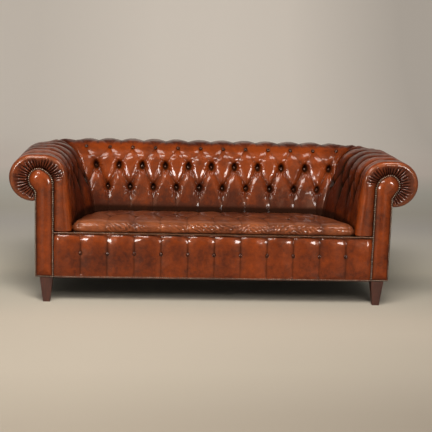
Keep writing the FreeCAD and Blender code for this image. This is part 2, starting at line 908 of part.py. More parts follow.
def make_linings():
    """Webbing and hessian of back and arms."""
    lean = back_bottom_offset
    half_count = (back_web_count - 1) / 2
    places = [back_web_pitch * (k - half_count) for k in range(back_web_count)]
    straps = [strap(web_depth, web_thickness, x, web_width, lean, back_point) for x in places]
    export("back_webbing", *straps)
    width = 2 * (post_inner_x - tack_rail_height)
    sheet = strap(hessian_depth, hessian_thickness, 0.0, width, lean, back_point)
    export("back_hessian", sheet)
    lean = arm_bottom_offset
    length = post_front_y - board_back_y
    middle = (post_front_y + board_back_y) / 2
    places = [middle + length * share for share in (-arm_web_share, 0.0, arm_web_share)]
    straps = [strap(web_depth, web_thickness, y, web_width, lean, arm_point) for y in places]
    export_pair("arm_webbing", *straps)
    middle -= tack_rail_height / 2
    length -= tack_rail_height
    sheet = strap(hessian_depth, hessian_thickness, middle, length, lean, arm_point)
    export_pair("arm_hessian", sheet)


def make_panels():
    """Outside leather panels and the black lining underneath."""
    top = roll_centre_z - roll_radius - panel_gap
    inner_x = panel_outer_x - panel_thickness
    arm_panel = box(inner_x, panel_outer_x, board_back_y, panel_outer_y, leg_height, top)
    export_pair("outside_arm_panel", arm_panel)
    inner_y = panel_outer_y - panel_thickness
    reach = inner_x - seat_gap
    export("outside_back_panel", box(-reach, reach, inner_y, panel_outer_y, leg_height, top))
    lining_top = leg_height - 2 * web_thickness - seat_gap
    low = lining_top - hessian_thickness
    lining = box(-frame_outer_x, frame_outer_x, board_front_y, frame_rear_y, low, lining_top)
    near = leg_centre_x - leg_top_width / 2 - leg_gap
    far = half_width
    for y in (leg_front_y, leg_rear_y):
        corner = box(near, far, y - lining_notch_front, y + lining_notch_rear, 0.0, leg_height)
        lining = lining.cut(corner).cut(mirrored(corner))
    export("dust_cover", lining)


# Frame and legs


def square(x, y, z, width):
    """The corners of a level square."""
    h = width / 2
    return [Vector(x + a * h, y + b * h, z) for a, b in ((-1, -1), (1, -1), (1, 1), (-1, 1))]


def stud_hole(x, y):
    """Room for a leg's stud, half in the leg and half in the frame."""
    radius = stud_radius + seat_gap
    length = stud_length + stud_hole_spare
    return Part.makeCylinder(radius, length, Vector(x, y, leg_height - length / 2))


def tapered_leg(y, rake):
    """A square leg, tapered to its foot, which may stand further back than its top."""
    foot = square(leg_centre_x, y + rake, 0.0, leg_foot_width)
    top = square(leg_centre_x, y, leg_height, leg_top_width)
    return plain_skin([foot, top]).cut(stud_hole(leg_centre_x, y))


def make_legs():
    """Four tapered legs, the rear pair raked, and the studs that hold them."""
    export_pair("leg_front", tapered_leg(leg_front_y, 0.0))
    export_pair("leg_rear", tapered_leg(leg_rear_y, rear_leg_rake))
    studs = []
    for side in (-1, 1):
        for y in (leg_front_y, leg_rear_y):
            foot = Vector(side * leg_centre_x, y, leg_height - stud_length / 2)
            studs.append(Part.makeCylinder(stud_radius, stud_length, foot))
    export("leg_studs", *studs)


def chamfered_rail(x0, x1, y0, y1, along):
    """A top rail, its long edges taken off so that the stuffing wraps round it."""
    rail = box(x0, x1, y0, y1, top_rail_bottom, top_rail_top)
    long_edges = [e for e in rail.Edges if e.tangentAt(e.FirstParameter).isEqual(along, 1e-6)
                  or e.tangentAt(e.FirstParameter).isEqual(along * -1, 1e-6)]
    return rail.makeChamfer(top_rail_edge, long_edges)


def make_frame():
    """The beech frame: front boards, posts, rails and stretcher."""
    board = moved(Part.Face(facing_outline(0.0)).extrude(Vector(0, -board_thickness, 0)), board_back_y)
    export_pair("arm_front_board", board.cut(stud_hole(leg_centre_x, leg_front_y)))
    z0, z1 = leg_height, frame_top
    export("front_rail", box(-facing_inner_x, facing_inner_x, front_rail_front_y, front_rail_back_y, z0, z1))
    export("rear_rail", box(-post_inner_x, post_inner_x, rear_rail_front_y, frame_rear_y, z0, z1))
    side_x = frame_outer_x - rail_thickness
    export_pair("side_rail", box(side_x, frame_outer_x, board_back_y, post_front_y, z0, z1))
    post = box(post_inner_x, frame_outer_x, post_front_y, frame_rear_y, leg_height, top_rail_bottom)
    export_pair("back_post", post.cut(stud_hole(leg_centre_x, leg_rear_y)))
    half_post = centre_post_width / 2
    posts = []
    for x in (-centre_post_space / 2, centre_post_space / 2):
        x0, x1 = x - half_post, x + half_post
        posts.append(box(x0, x1, post_front_y, frame_rear_y, frame_top, top_rail_bottom))
    export("back_centre_posts", *posts)
    rail_inner = face_offset(roll_centre_z - half_rail + top_rail_edge, lining_depth, back_bottom_offset)
    out_x, out_y = half_width - top_rail_offset, rear_y - top_rail_offset
    in_x, in_y = half_width - rail_inner, rear_y - rail_inner
    export("back_top_rail", chamfered_rail(-out_x, out_x, in_y, out_y, Vector(1, 0, 0)))
    export_pair("arm_top_rail", chamfered_rail(in_x, out_x, board_back_y, in_y, Vector(0, 1, 0)))
    arm_x = half_width - face_offset(tack_rail_top, lining_depth, arm_bottom_offset)
    arm_rail = box(arm_x, arm_x + rail_thickness, board_back_y, post_front_y, tack_rail_bottom, tack_rail_top)
    export_pair("arm_tacking_rail", arm_rail)
    back_y = rear_y - face_offset(tack_rail_top, lining_depth, back_bottom_offset)
    export("back_tacking_rail", box(-arm_x, arm_x, back_y, post_front_y, tack_rail_bottom, tack_rail_top))
    half = stretcher_width / 2
    top = leg_height + stretcher_height
    export("centre_stretcher", box(-half, half, front_rail_back_y, rear_rail_front_y, leg_height, top))
    make_corner_blocks(side_x)


def make_corner_blocks(side_x):
    """Glued blocks in the four corners of the seat frame."""
    up = Vector(0, 0, corner_block_height)
    z = corner_block_bottom
    front = [
        (side_x, board_back_y),
        (side_x, front_rail_back_y + corner_block_reach),
        (facing_inner_x - corner_block_reach / 2, front_rail_back_y),
        (facing_inner_x, front_rail_back_y),
        (facing_inner_x, board_back_y),
    ]
    rear = [
        (post_inner_x, post_front_y),
        (post_inner_x, rear_rail_front_y),
        (post_inner_x - corner_block_reach / 2, rear_rail_front_y),
        (post_inner_x - corner_block_nose, post_front_y),
    ]
    blocks = []
    for outline in (front, rear):
        block = prism([Vector(x, y, z) for x, y in outline], up)
        blocks += [block, mirrored(block)]
    export("corner_blocks", *blocks)


make_back()
make_arms()
make_facing()
make_border()
make_seat()
make_front_border()
make_springing()
make_linings()
make_panels()
make_legs()
make_frame()
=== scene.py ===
"""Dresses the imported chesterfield: deep-buttoned leather, pleated scroll fronts, nails, wood and studio."""

import math
from collections import namedtuple

import bmesh
import bpy
import numpy as np
from mathutils import Matrix, Vector


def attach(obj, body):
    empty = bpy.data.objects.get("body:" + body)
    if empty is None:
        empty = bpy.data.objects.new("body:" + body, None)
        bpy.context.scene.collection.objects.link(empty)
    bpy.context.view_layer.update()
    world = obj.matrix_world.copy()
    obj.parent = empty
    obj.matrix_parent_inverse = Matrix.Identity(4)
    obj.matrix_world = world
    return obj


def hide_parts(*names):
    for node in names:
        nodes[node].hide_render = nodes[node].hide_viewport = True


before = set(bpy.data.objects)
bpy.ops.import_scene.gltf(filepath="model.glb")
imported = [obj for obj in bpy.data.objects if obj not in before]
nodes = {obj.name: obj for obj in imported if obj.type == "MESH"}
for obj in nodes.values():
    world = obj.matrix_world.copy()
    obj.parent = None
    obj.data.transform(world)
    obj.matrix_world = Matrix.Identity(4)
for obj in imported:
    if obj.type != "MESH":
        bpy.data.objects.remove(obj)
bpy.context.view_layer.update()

MM = 0.001

# Main sizes of the sofa, in mm, as in the construction model
HALF_WIDTH = 1000.0
FRONT = -445.0
REAR = 445.0
HEIGHT = 730.0
ROLL = 114.0
ROLL_FLAT = 52.0
ROLL_Z = HEIGHT - ROLL
ROLL_WIDTH = 2 * ROLL + ROLL_FLAT
FACE_BOTTOM = 352.0
BACK_BOTTOM = 333.0
ARM_BOTTOM = 305.0
CORE = 50.0
MITRE_GAP = 0.6
LEG_HEIGHT = 126.0
FACING_IN = 785.0
FACING_OUT = 877.0
FACING_BACK = -421.0
BOARD_BACK = -390.7
HEAD = 57.0
HEAD_X = 853.0
HEAD_Z = 610.0
WELT_Z = 350.0
BUTTON = 8.5
BACK_PITCH = 125.0
ARM_PITCH = 120.0
FLUTE_PITCH = 131.0
BACK_COLUMNS = [-687.5 + BACK_PITCH * k for k in range(12)]
ARM_COLUMNS = [-313.7 + ARM_PITCH * k for k in range(5)]
FLUTES = [FLUTE_PITCH * (k - 5) for k in range(11)]
SIDES = ((1, "right"), (-1, "left"))


# Small helpers


def middles(values):
    """The places half-way between neighbours."""
    return [(a + b) / 2 for a, b in zip(values[:-1], values[1:])]


def stacked(*parts):
    """Numbers or arrays side by side along a new last axis."""
    return np.stack(np.broadcast_arrays(*parts), axis=-1)


def soft_noise(u, v, size, seed):
    """Smooth noise from -1 to 1 over a surface, with humps of about the given size."""
    grid = np.random.default_rng(seed).random((64, 64)) * 2 - 1
    gu, gv = u / size, v / size
    iu, iv = np.floor(gu).astype(int), np.floor(gv).astype(int)
    fu, fv = gu - iu, gv - iv
    su, sv = fu * fu * (3 - 2 * fu), fv * fv * (3 - 2 * fv)
    a, b = grid[iu % 64, iv % 64], grid[(iu + 1) % 64, iv % 64]
    c, d = grid[iu % 64, (iv + 1) % 64], grid[(iu + 1) % 64, (iv + 1) % 64]
    return (a * (1 - su) + b * su) * (1 - sv) + (c * (1 - su) + d * su) * sv


def rise(x, low, high):
    """A smooth step from 0 at low to 1 at high."""
    t = np.clip((x - low) / (high - low), 0.0, 1.0)
    return t * t * (3 - 2 * t)


def blur(field, sigma):
    """A Gaussian blur of a lattice, sigma in lattice steps."""
    reach = int(3 * sigma) + 1
    kernel = np.exp(-0.5 * (np.arange(-reach, reach + 1) / sigma) ** 2)
    kernel /= kernel.sum()
    for axis in (0, 1):
        pad = [(0, 0), (0, 0)]
        pad[axis] = (reach, reach)
        wide = np.pad(field, pad, mode="edge")
        field = sum(
            k * np.take(wide, np.arange(i, i + field.shape[axis]), axis=axis)
            for i, k in enumerate(kernel)
        )
    return field


def round_point(x, z, radius, angle):
    """A place on a circle round (x, z), at an angle in degrees."""
    turn = math.radians(angle)
    return x + radius * math.cos(turn), z + radius * math.sin(turn)


def make_object(name, verts, faces, material, dye_and_painted_light, replaced):
    """A mesh object in metres from points in mm, riding on the sofa, in place of some CAD nodes."""
    mesh = bpy.data.meshes.new(name)
    mesh.from_pydata((np.asarray(verts, float) * MM).tolist(), [], faces)
    mesh.validate()
    mesh.update()
    # The colour attribute holds painted shade, tone, and rubbing together with painted highlights
    layer = mesh.color_attributes.new("dye_and_painted_light", "FLOAT_COLOR", "POINT")
    flat = np.ones((len(mesh.vertices), 4), np.float32)
    flat[:, :3] = dye_and_painted_light
    layer.data.foreach_set("color", flat.ravel())
    mesh.polygons.foreach_set("use_smooth", [True] * len(mesh.polygons))
    mesh.materials.append(material)
    obj = bpy.data.objects.new(name, mesh)
    bpy.context.scene.collection.objects.link(obj)
    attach(obj, "root")
    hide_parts(*replaced)
    return obj


def ring_faces(count, size):
    """Quads between closed rings of points, and a cap at each end."""
    faces = []
    for a in range(0, (count - 1) * size, size):
        b = a + size
        faces += [(a + k, a + (k + 1) % size, b + (k + 1) % size, b + k) for k in range(size)]
    faces.append(tuple(reversed(range(size))))
    faces.append(tuple(range((count - 1) * size, count * size)))
    return faces


def rings_object(name, rings, material, dye_and_painted_light, replaced):
    """A closed leather form through rings of equally many points: rings is an array (rings, points, 3)."""
    faces = ring_faces(*rings.shape[:2])
    return make_object(
        name, rings.reshape(-1, 3), faces, material, dye_and_painted_light.reshape(-1, 3), replaced
    )


def leather_cover(name, outer, core, material, dye_and_painted_light, replaced):
    """A closed cover: rows of its outer skin with their colouring, each closed over two places of its core, which is
    painted in full shade.
    """
    count = outer.shape[1]
    rings = np.concatenate([outer, core], axis=1)
    colours = np.zeros(rings.shape)
    colours[:, :count] = dye_and_painted_light
    # the hidden core side is painted in full shade
    colours[:, count:, 0] = 1.0
    return rings_object(name, rings, material, colours, replaced)


# Materials


def feed(socket, value):
    """Links a node's output to a socket, or sets the socket's value."""
    if isinstance(value, bpy.types.NodeSocket):
        socket.id_data.links.new(value, socket)
    elif socket.type == "RGBA":
        socket.default_value = (*value, 1.0)
    else:
        socket.default_value = value


def node_material(name):
    """A new material, a way to add fed nodes, the object's own coordinates and a way to feed the shader."""
    mat = bpy.data.materials.new(name)
    mat.use_nodes = True
    tree = mat.node_tree
    shader = tree.nodes["Principled BSDF"]

    def add(kind, **values):
        node = tree.nodes.new(kind)
        for key, value in values.items():
            if key in node.inputs:
                feed(node.inputs[key], value)
            else:
                setattr(node, key, value)
        return node

    def shade(values):
        for key, value in values.items():
            feed(shader.inputs[key], value)

    return mat, add, add("ShaderNodeTexCoord").outputs["Object"], shade


def filled(node, numbered, output=0):
    """Feeds a node's inputs by their numbers and gives one output."""
    for index, value in numbered.items():
        feed(node.inputs[index], value)
    return node.outputs[output]


def mixed(add, factor, a, b, blend="MIX"):
    """A colour mix node's result."""
    node = add("ShaderNodeMix", data_type="RGBA", blend_type=blend)
    return filled(node, {0: factor, 6: a, 7: b}, 2)


def times(add, a, b):
    """The product of two colours."""
    return mixed(add, 1.0, a, b, "MULTIPLY")


def ranged(add, value, low, high, to_low=0.0, to_high=1.0):
    """A value mapped from one range to another, clamped."""
    return filled(add("ShaderNodeMapRange"), {0: value, 1: low, 2: high, 3: to_low, 4: to_high})


def summed(add, a, b, kind="ADD"):
    """One arithmetic step between two values."""
    return filled(add("ShaderNodeMath", operation=kind), {0: a, 1: b})


def noise(add, where, scale, detail, roughness=0.5, distortion=0.0):
    """Cloudy noise from 0 to 1."""
    node = add("ShaderNodeTexNoise", Vector=where, Scale=scale, Detail=detail, Roughness=roughness,
               Distortion=distortion)
    return node.outputs[0]


def bumped(add, height, strength, distance, **below):
    """The normal of a surface raised by a value, distance in metres."""
    return add("ShaderNodeBump", Strength=strength, Distance=distance, Height=height, **below).outputs[0]


# Near-black painted shade for creases and pits; a lighter tint for rubbed places and painted highlights
PAINTED_SHADE_BLACK = (0.010, 0.0045, 0.0025)
WORN_AND_HIGHLIGHT = (0.33, 0.15, 0.075)


def leather_material(name, bright, deep, gloss=0.34, grain=0.22):
    """Hand-dyed leather: bright crowns, deeper folds, under a hard polish, with near-black painted shade in creases
    and pits and a lighter tint for rubbed places and painted highlights.
    """
    mat, add, where, shade = node_material(name)
    dye_and_painted_light = add("ShaderNodeAttribute", attribute_name="dye_and_painted_light").outputs["Color"]
    # Channels: painted shade, tone, and rubbing together with painted highlights
    crease, tone, wear_and_highlight = add("ShaderNodeSeparateColor", Color=dye_and_painted_light).outputs[:3]
    cloud = noise(add, where, 7.0, 5.0, 0.6)
    mottle = noise(add, where, 34.0, 6.0, 0.7)
    fleck = noise(add, where, 160.0, 3.0)
    depth = summed(add, tone, ranged(add, cloud, 0.3, 0.7, -0.34, 0.46))
    depth = summed(add, depth, ranged(add, mottle, 0.3, 0.7, -0.3, 0.34))
    colour = mixed(add, ranged(add, depth, 0.0, 1.0), bright, deep)
    colour = mixed(add, ranged(add, fleck, 0.35, 0.75, 0.0, 0.22), colour, deep)
    faded_and_highlit = mixed(add, 0.5, colour, WORN_AND_HIGHLIGHT)
    colour = mixed(add, ranged(add, wear_and_highlight, 0.0, 1.0, 0.0, 0.55), colour, faded_and_highlit)
    colour = mixed(add, ranged(add, crease, 0.0, 1.0, 0.0, 0.96), colour, PAINTED_SHADE_BLACK)
    rough = ranged(add, mottle, 0.3, 0.75, gloss - 0.05, gloss + 0.1)
    pebbles = add("ShaderNodeTexVoronoi", Vector=where, Scale=420.0).outputs["Distance"]
    pores = bumped(add, pebbles, grain, 0.0006)
    shade({
        "Base Color": colour,
        "Roughness": summed(add, rough, ranged(add, crease, 0.2, 1.0, 0.0, 0.25)),
        "IOR": 1.5,
        "Specular IOR Level": ranged(add, crease, 0.1, 0.8, 0.2, 0.04),
        "Specular Tint": (1.0, 0.5, 0.3),
        "Coat Weight": ranged(add, crease, 0.1, 0.8, 0.32, 0.02),
        "Coat Roughness": 0.10,
        "Normal": bumped(add, noise(add, where, 60.0, 4.0, distortion=0.8), 0.35, 0.0012, Normal=pores),
    })
    return mat


def wood_material(name, light, dark, rough, coat, along="Z"):
    """Timber with long grain, darker growth lines and fine pores."""
    mat, add, where, shade = node_material(name)
    stretch = [1.5 if axis == along else 24.0 for axis in "XYZ"]
    where = add("ShaderNodeMapping", Vector=where, Scale=stretch).outputs[0]
    grain = noise(add, where, 1.6, 8.0, 0.65, 0.6)
    pores = noise(add, where, 14.0, 3.0)
    colour = mixed(add, ranged(add, grain, 0.32, 0.68), dark, light)
    shade({
        "Base Color": mixed(add, ranged(add, pores, 0.52, 0.7, 0.0, 0.45), colour, dark),
        "Roughness": ranged(add, grain, 0.3, 0.7, rough, rough + 0.15),
        "Coat Weight": coat,
        "Coat Roughness": 0.2,
        "Specular IOR Level": 0.25,
        "Normal": bumped(add, pores, 0.3, 0.0005),
    })
    return mat


def metal_material(name, light, dark, rough):
    """Metal with a patchy darkened surface."""
    mat, add, where, shade = node_material(name)
    patch = noise(add, where, 90.0, 5.0, 0.65)
    shade({
        "Base Color": mixed(add, ranged(add, patch, 0.35, 0.68), light, dark),
        "Roughness": ranged(add, patch, 0.3, 0.7, rough, rough + 0.25),
        "Metallic": 1.0,
        "Normal": bumped(add, patch, 0.2, 0.0003),
    })
    return mat


def woven_material(name, light, dark, thread, rough=0.9, strength=0.7):
    """Plain woven cloth: threads over and under, thread in metres."""
    mat, add, where, shade = node_material(name)
    across, along, up = (
        add("ShaderNodeTexWave", Vector=where, Scale=0.16 / thread, Distortion=0.6, Detail=2.0,
            bands_direction=axis).outputs[1]
        for axis in "XYZ"
    )
    weave = summed(add, summed(add, across, along, "MULTIPLY"), up)
    slub = noise(add, where, 90.0, 5.0, 0.7)
    colour = mixed(add, ranged(add, weave, 0.3, 1.4), dark, light)
    shade({
        "Base Color": mixed(add, ranged(add, slub, 0.35, 0.7, 0.0, 0.4), colour, dark),
        "Roughness": ranged(add, slub, 0.3, 0.7, rough - 0.06, rough + 0.06),
        "Normal": bumped(add, weave, strength, thread * 0.5),
    })
    return mat


def fibre_material(name, light, dark):
    """Loose curled hair and fibre, as in upholstery stuffing."""
    mat, add, where, shade = node_material(name)
    curl = noise(add, where, 120.0, 6.0, 0.75, 2.4)
    shade({
        "Base Color": mixed(add, ranged(add, curl, 0.35, 0.65), dark, light),
        "Roughness": ranged(add, curl, 0.3, 0.7, 0.85, 1.0),
        "Normal": bumped(add, curl, 0.9, 0.004),
    })
    return mat


leather = leather_material("leather_hand_dyed", (0.27, 0.043, 0.0045), (0.060, 0.0095, 0.0032))
seat_leather = leather_material("leather_seat_worn", (0.34, 0.088, 0.026), (0.088, 0.018, 0.007), 0.32, 0.35)
button_leather = leather_material("leather_buttons", (0.085, 0.020, 0.008), (0.03, 0.009, 0.005), 0.2, 0.3)
piping_leather = leather_material("leather_welt", (0.10, 0.045, 0.024), (0.03, 0.011, 0.006), 0.3, 0.3)
outside_leather = leather_material("leather_outside", (0.20, 0.036, 0.0065), (0.055, 0.012, 0.005), 0.3, 0.3)
brass = metal_material("antique_brass", (0.20, 0.145, 0.105), (0.038, 0.026, 0.019), 0.3)
steel = metal_material("oiled_steel", (0.42, 0.41, 0.40), (0.16, 0.15, 0.14), 0.35)
leg_wood = wood_material("stained_wood", (0.105, 0.030, 0.015), (0.036, 0.011, 0.007), 0.45, 0.08)
beech = {
    axis: wood_material("beech_" + axis.lower(), (0.60, 0.40, 0.23), (0.46, 0.27, 0.14), 0.6, 0.0, axis)
    for axis in "XYZ"
}
jute = woven_material("jute_webbing", (0.50, 0.36, 0.20), (0.24, 0.15, 0.07), 0.0022)
hessian = woven_material("hessian", (0.46, 0.35, 0.21), (0.22, 0.15, 0.08), 0.0014)
lining = woven_material("black_lining", (0.030, 0.030, 0.032), (0.008, 0.008, 0.009), 0.0009, 0.95, 0.4)
fibre = fibre_material("stuffing", (0.42, 0.33, 0.22), (0.14, 0.10, 0.06))


# Buttoned leather as a relief: depth under the crown, in mm, and painted shade in its folds and pits, on a lattice

LATTICE = 2.5
FOLD_REACH = 3.4
SHADE_REACH = 5.0
LAP_REACH = 8.0


def overlay(field, window, values):
    """Keeps the larger of a field and some values, within a window."""
    field[window] = np.maximum(field[window], values)


class Relief:
    """The folds and pits of a piece of leather, over its two directions u and v in mm."""

    def __init__(self, u0, u1, v0, v1):
        self.u0, self.v0 = u0, v0
        us = np.arange(u0, u1 + LATTICE, LATTICE)
        vs = np.arange(v0, v1 + LATTICE, LATTICE)
        self.U, self.V = np.meshgrid(us, vs, indexing="ij")
        self.deep, self.fold, self.dark, self.ripple = (np.zeros_like(self.U) for _ in range(4))

    def window(self, points, reach):
        """The part of the lattice within reach of some points."""
        parts = []
        for places, start in zip(zip(*points), (self.u0, self.v0)):
            first = max(int((min(places) - reach - start) / LATTICE), 0)
            last = max(int((max(places) + reach - start) / LATTICE) + 2, 0)
            parts.append(slice(first, last))
        return tuple(parts)

    def crease(self, a, b, ends, middle, width, fold, sway=3.0, lap=0.0, seed=0, dark=1.0):
        """A fold from a to b, ends deep at its ends and middle deep half-way, that fades over width."""
        w = self.window((a, b), width)
        U, V = self.U[w], self.V[w]
        du, dv = b[0] - a[0], b[1] - a[1]
        length = math.hypot(du, dv)
        t = ((U - a[0]) * du + (V - a[1]) * dv) / length**2
        side = ((U - a[0]) * -dv + (V - a[1]) * du) / length
        inside = np.clip(t, 0.0, 1.0)
        bend = sway * np.sin(math.pi * inside) * math.sin(7.3 * seed + 1.1)
        bend = bend + 0.3 * sway * np.sin(2 * math.pi * inside) * math.cos(3.1 * seed)
        over = (t - inside) * length
        away = np.hypot(side - bend, over)
        deep = middle + (ends[0] - middle) * np.clip(1 - 2 * inside, 0, 1) ** 2
        deep = deep + (ends[1] - middle) * np.clip(2 * inside - 1, 0, 1) ** 2
        overlay(self.deep, w, deep * np.clip(1 - away / width, 0, 1) ** 2)
        overlay(self.fold, w, fold * np.exp(-away / FOLD_REACH))
        # painted shade along the fold, as strong as dark
        overlay(self.dark, w, dark * np.exp(-((away / SHADE_REACH) ** 1.5)))
        if lap:
            edge = np.exp(-away / LAP_REACH) * (1 - np.exp(-away / 1.5))
            self.ripple[w] += lap * np.sign(side - bend) * edge * (over == 0)

    def pit(self, a, depth, radius, puckers=13, pucker=0.8, seed=0, dark=1.0, core=0.36):
        """A hollow drawn in by a button, with small gathers round its mouth."""
        w = self.window((a,), radius * 1.5)
        U, V = self.U[w] - a[0], self.V[w] - a[1]
        r = np.hypot(U, V)
        oval = np.hypot(U * 1.38, V * 0.80)
        funnel = 0.34 * depth * np.clip(1 - r / radius, 0, 1) ** 1.5
        hole = 0.66 * depth / (1 + (oval / (core * radius)) ** 3.2)
        overlay(self.deep, w, (funnel + hole) * (1 - rise(r, 1.2 * radius, 1.45 * radius)))
        # painted shade in the pit's mouth
        overlay(self.dark, w, dark * (1 - rise(oval, 0.32 * radius, 0.60 * radius)))
        turn = np.arctan2(V, U)
        wave = np.cos(puckers * turn + 2.1 * seed + 0.9 * np.sin(3 * turn + seed))
        ring = np.exp(-(((r - 0.62 * radius) / (0.28 * radius)) ** 2))
        self.ripple[w] += pucker * wave * ring

    def gathers(self, a, way, length, height, seed):
        """Short fine pleats that run out of a pit on one side."""
        w = self.window((a,), length * 2)
        U, V = self.U[w] - a[0], self.V[w] - a[1]
        ahead = U * way[0] + V * way[1]
        across = U * way[1] - V * way[0]
        spread = across / (1 + np.clip(ahead, 0, None) / 60.0)
        wave = np.cos(spread * 2 * math.pi / 8.5 + 1.7 * seed)
        wave = wave + 0.4 * np.cos(spread * 2 * math.pi / 5.3 + seed)
        fade = rise(ahead, 10.0, 24.0) * (1 - rise(ahead, 0.9 * length, 1.7 * length))
        fade = fade * np.exp(-((spread / 20.0) ** 2))
        self.ripple[w] += height * wave * fade
        # painted shade in the valleys of the gathers
        overlay(self.dark, w, 0.30 * fade * np.clip(wave, 0, 1))

    def done(self, soften=5.0, lumps=1.2, seed=1, shade_from=13.0, shade_over=20.0):
        """Puts the relief together: soft pillows, crisp folds, slow unevenness, and painted shade in folds, pits and
        deep places.
        """
        deep = blur(self.deep, soften / LATTICE)
        loose = np.clip(1 - deep / 30.0, 0, 1)
        lump = lumps * soft_noise(self.U, self.V, 46.0, seed) * loose
        lump += 0.35 * lumps * soft_noise(self.U, self.V, 17.0, seed + 1) * loose
        self.depth = deep + self.fold * 0.8 + self.ripple + lump
        # painted shade that grows with the depth
        shade = np.clip((deep - shade_from) / shade_over, 0, 1)
        self.painted_crease_shade = np.clip(np.maximum(self.dark, shade), 0, 1)
        return self

    def at(self, u, v):
        """Depth and crease dye at any places, between lattice points."""
        gu = np.clip((u - self.u0) / LATTICE, 0, self.U.shape[0] - 1.001)
        gv = np.clip((v - self.v0) / LATTICE, 0, self.U.shape[1] - 1.001)
        i, j = gu.astype(int), gv.astype(int)
        fu, fv = gu - i, gv - j
        out = []
        for field in (self.depth, self.painted_crease_shade):
            low = field[i, j] * (1 - fu) + field[i + 1, j] * fu
            high = field[i, j + 1] * (1 - fu) + field[i + 1, j + 1] * fu
            out.append(low * (1 - fv) + high * fv)
        return out


class Section:
    """The outline that back and arms share, from the seat over the roll."""

    def __init__(self, bottom):
        run, climb = ROLL_WIDTH - bottom, ROLL_Z - FACE_BOTTOM
        self.face_length = math.hypot(run, climb)
        self.flat_start = self.face_length + ROLL * math.pi / 2
        self.flat_end = self.flat_start + ROLL_FLAT
        # rows of path length, offset from the outside, height, and the way out as offset and height
        rows = []

        def arc(v, centre, first, last):
            for angle in np.arange(first, last, 0.5):
                turn = math.radians(angle)
                across, up = math.cos(turn), math.sin(turn)
                v_here = v + ROLL * (turn - math.radians(first))
                rows.append((v_here, centre + ROLL * across, ROLL_Z + ROLL * up, across, up))

        for s in np.arange(0.0, self.face_length, 1.0):
            share = s / self.face_length
            rows.append((s, bottom + run * share, FACE_BOTTOM + climb * share,
                         climb / self.face_length, -run / self.face_length))
        arc(self.face_length, ROLL_WIDTH - ROLL, 0.0, 90.01)
        for s in np.arange(1.0, ROLL_FLAT, 1.0):
            rows.append((self.flat_start + s, ROLL_WIDTH - ROLL - s, HEIGHT, 0.0, 1.0))
        arc(self.flat_end, ROLL, 90.0, 274.01)
        self.table = table = np.array(rows)
        self.end = table[-1, 0]
        # the bend between face and roll is eased over 25 rows
        smooth = table.copy()
        for column in range(1, 5):
            wide = np.pad(table[:, column], 12, mode="reflect", reflect_type="odd")
            smooth[:, column] = np.convolve(wide, np.ones(25) / 25, mode="valid")
        keep = rise(np.abs(table[:, 0] - self.face_length), 14.0, 40.0)[:, None]
        table[:, 1:] = smooth[:, 1:] * (1 - keep) + table[:, 1:] * keep

    def face(self, z):
        """Path length at a height of the inside face."""
        return self.face_length * (z - FACE_BOTTOM) / (ROLL_Z - FACE_BOTTOM)

    def roll(self, angle):
        """Path length at an angle round the front of the roll."""
        return self.face_length + ROLL * math.radians(angle)

    def place(self, v, depth):
        """Offset and height at path length v, depth under the outline."""
        off, z, way_off, way_z = (np.interp(v, self.table[:, 0], self.table[:, c]) for c in range(1, 5))
        return off - depth * way_off, z - depth * way_z

    def rows(self, fine, coarse):
        """Path lengths of a cover's rows, fine over the inside and the top, coarser outside."""
        turn = self.flat_end + 40.0
        outside = np.linspace(turn, self.end, int((self.end - turn) / coarse))
        return np.concatenate([np.arange(0.0, turn, fine), outside])


# A cover's section, how it lies in the sofa, where it ends and how much fuller it is at a place
Cover = namedtuple("Cover", "section point ends swell")
END_SINK = 24.0
END_WIDTH = 42.0
SPREAD = 260.0
MITRED, SQUARE = (END_SINK, END_WIDTH), (4.0, 10.0)


def corner_swell(section, v, away, fullest, spread):
    """Fuller inside the corner, and rounded off outside it, over the distance to the mitre."""
    inside = fullest * (1 - rise(v, 60.0, section.flat_start)) * np.exp(-((away / spread) ** 1.5))
    outside = rise(v, section.flat_start - 20.0, section.flat_end + 40.0)
    return inside - 40.0 * outside * np.exp(-((away / 130.0) ** 1.5))


def settled(cover, u, v):
    """Moves places near the ends along the cover, so that the swollen ends still meet at the mitre."""
    low, high = cover.ends(cover.section.place(v, 0.0)[0])
    fuller_low, fuller_high = (
        cover.section.place(v, END_SINK - cover.swell(end, v))[0] for end in (low, high)
    )
    near_high = np.clip(1 - (high - u) / SPREAD, 0, 1) ** 2
    near_low = np.clip(1 - (u - low) / SPREAD, 0, 1) ** 2
    moved = u + (cover.ends(fuller_high)[1] - high) * near_high
    return moved + (cover.ends(fuller_low)[0] - low) * near_low


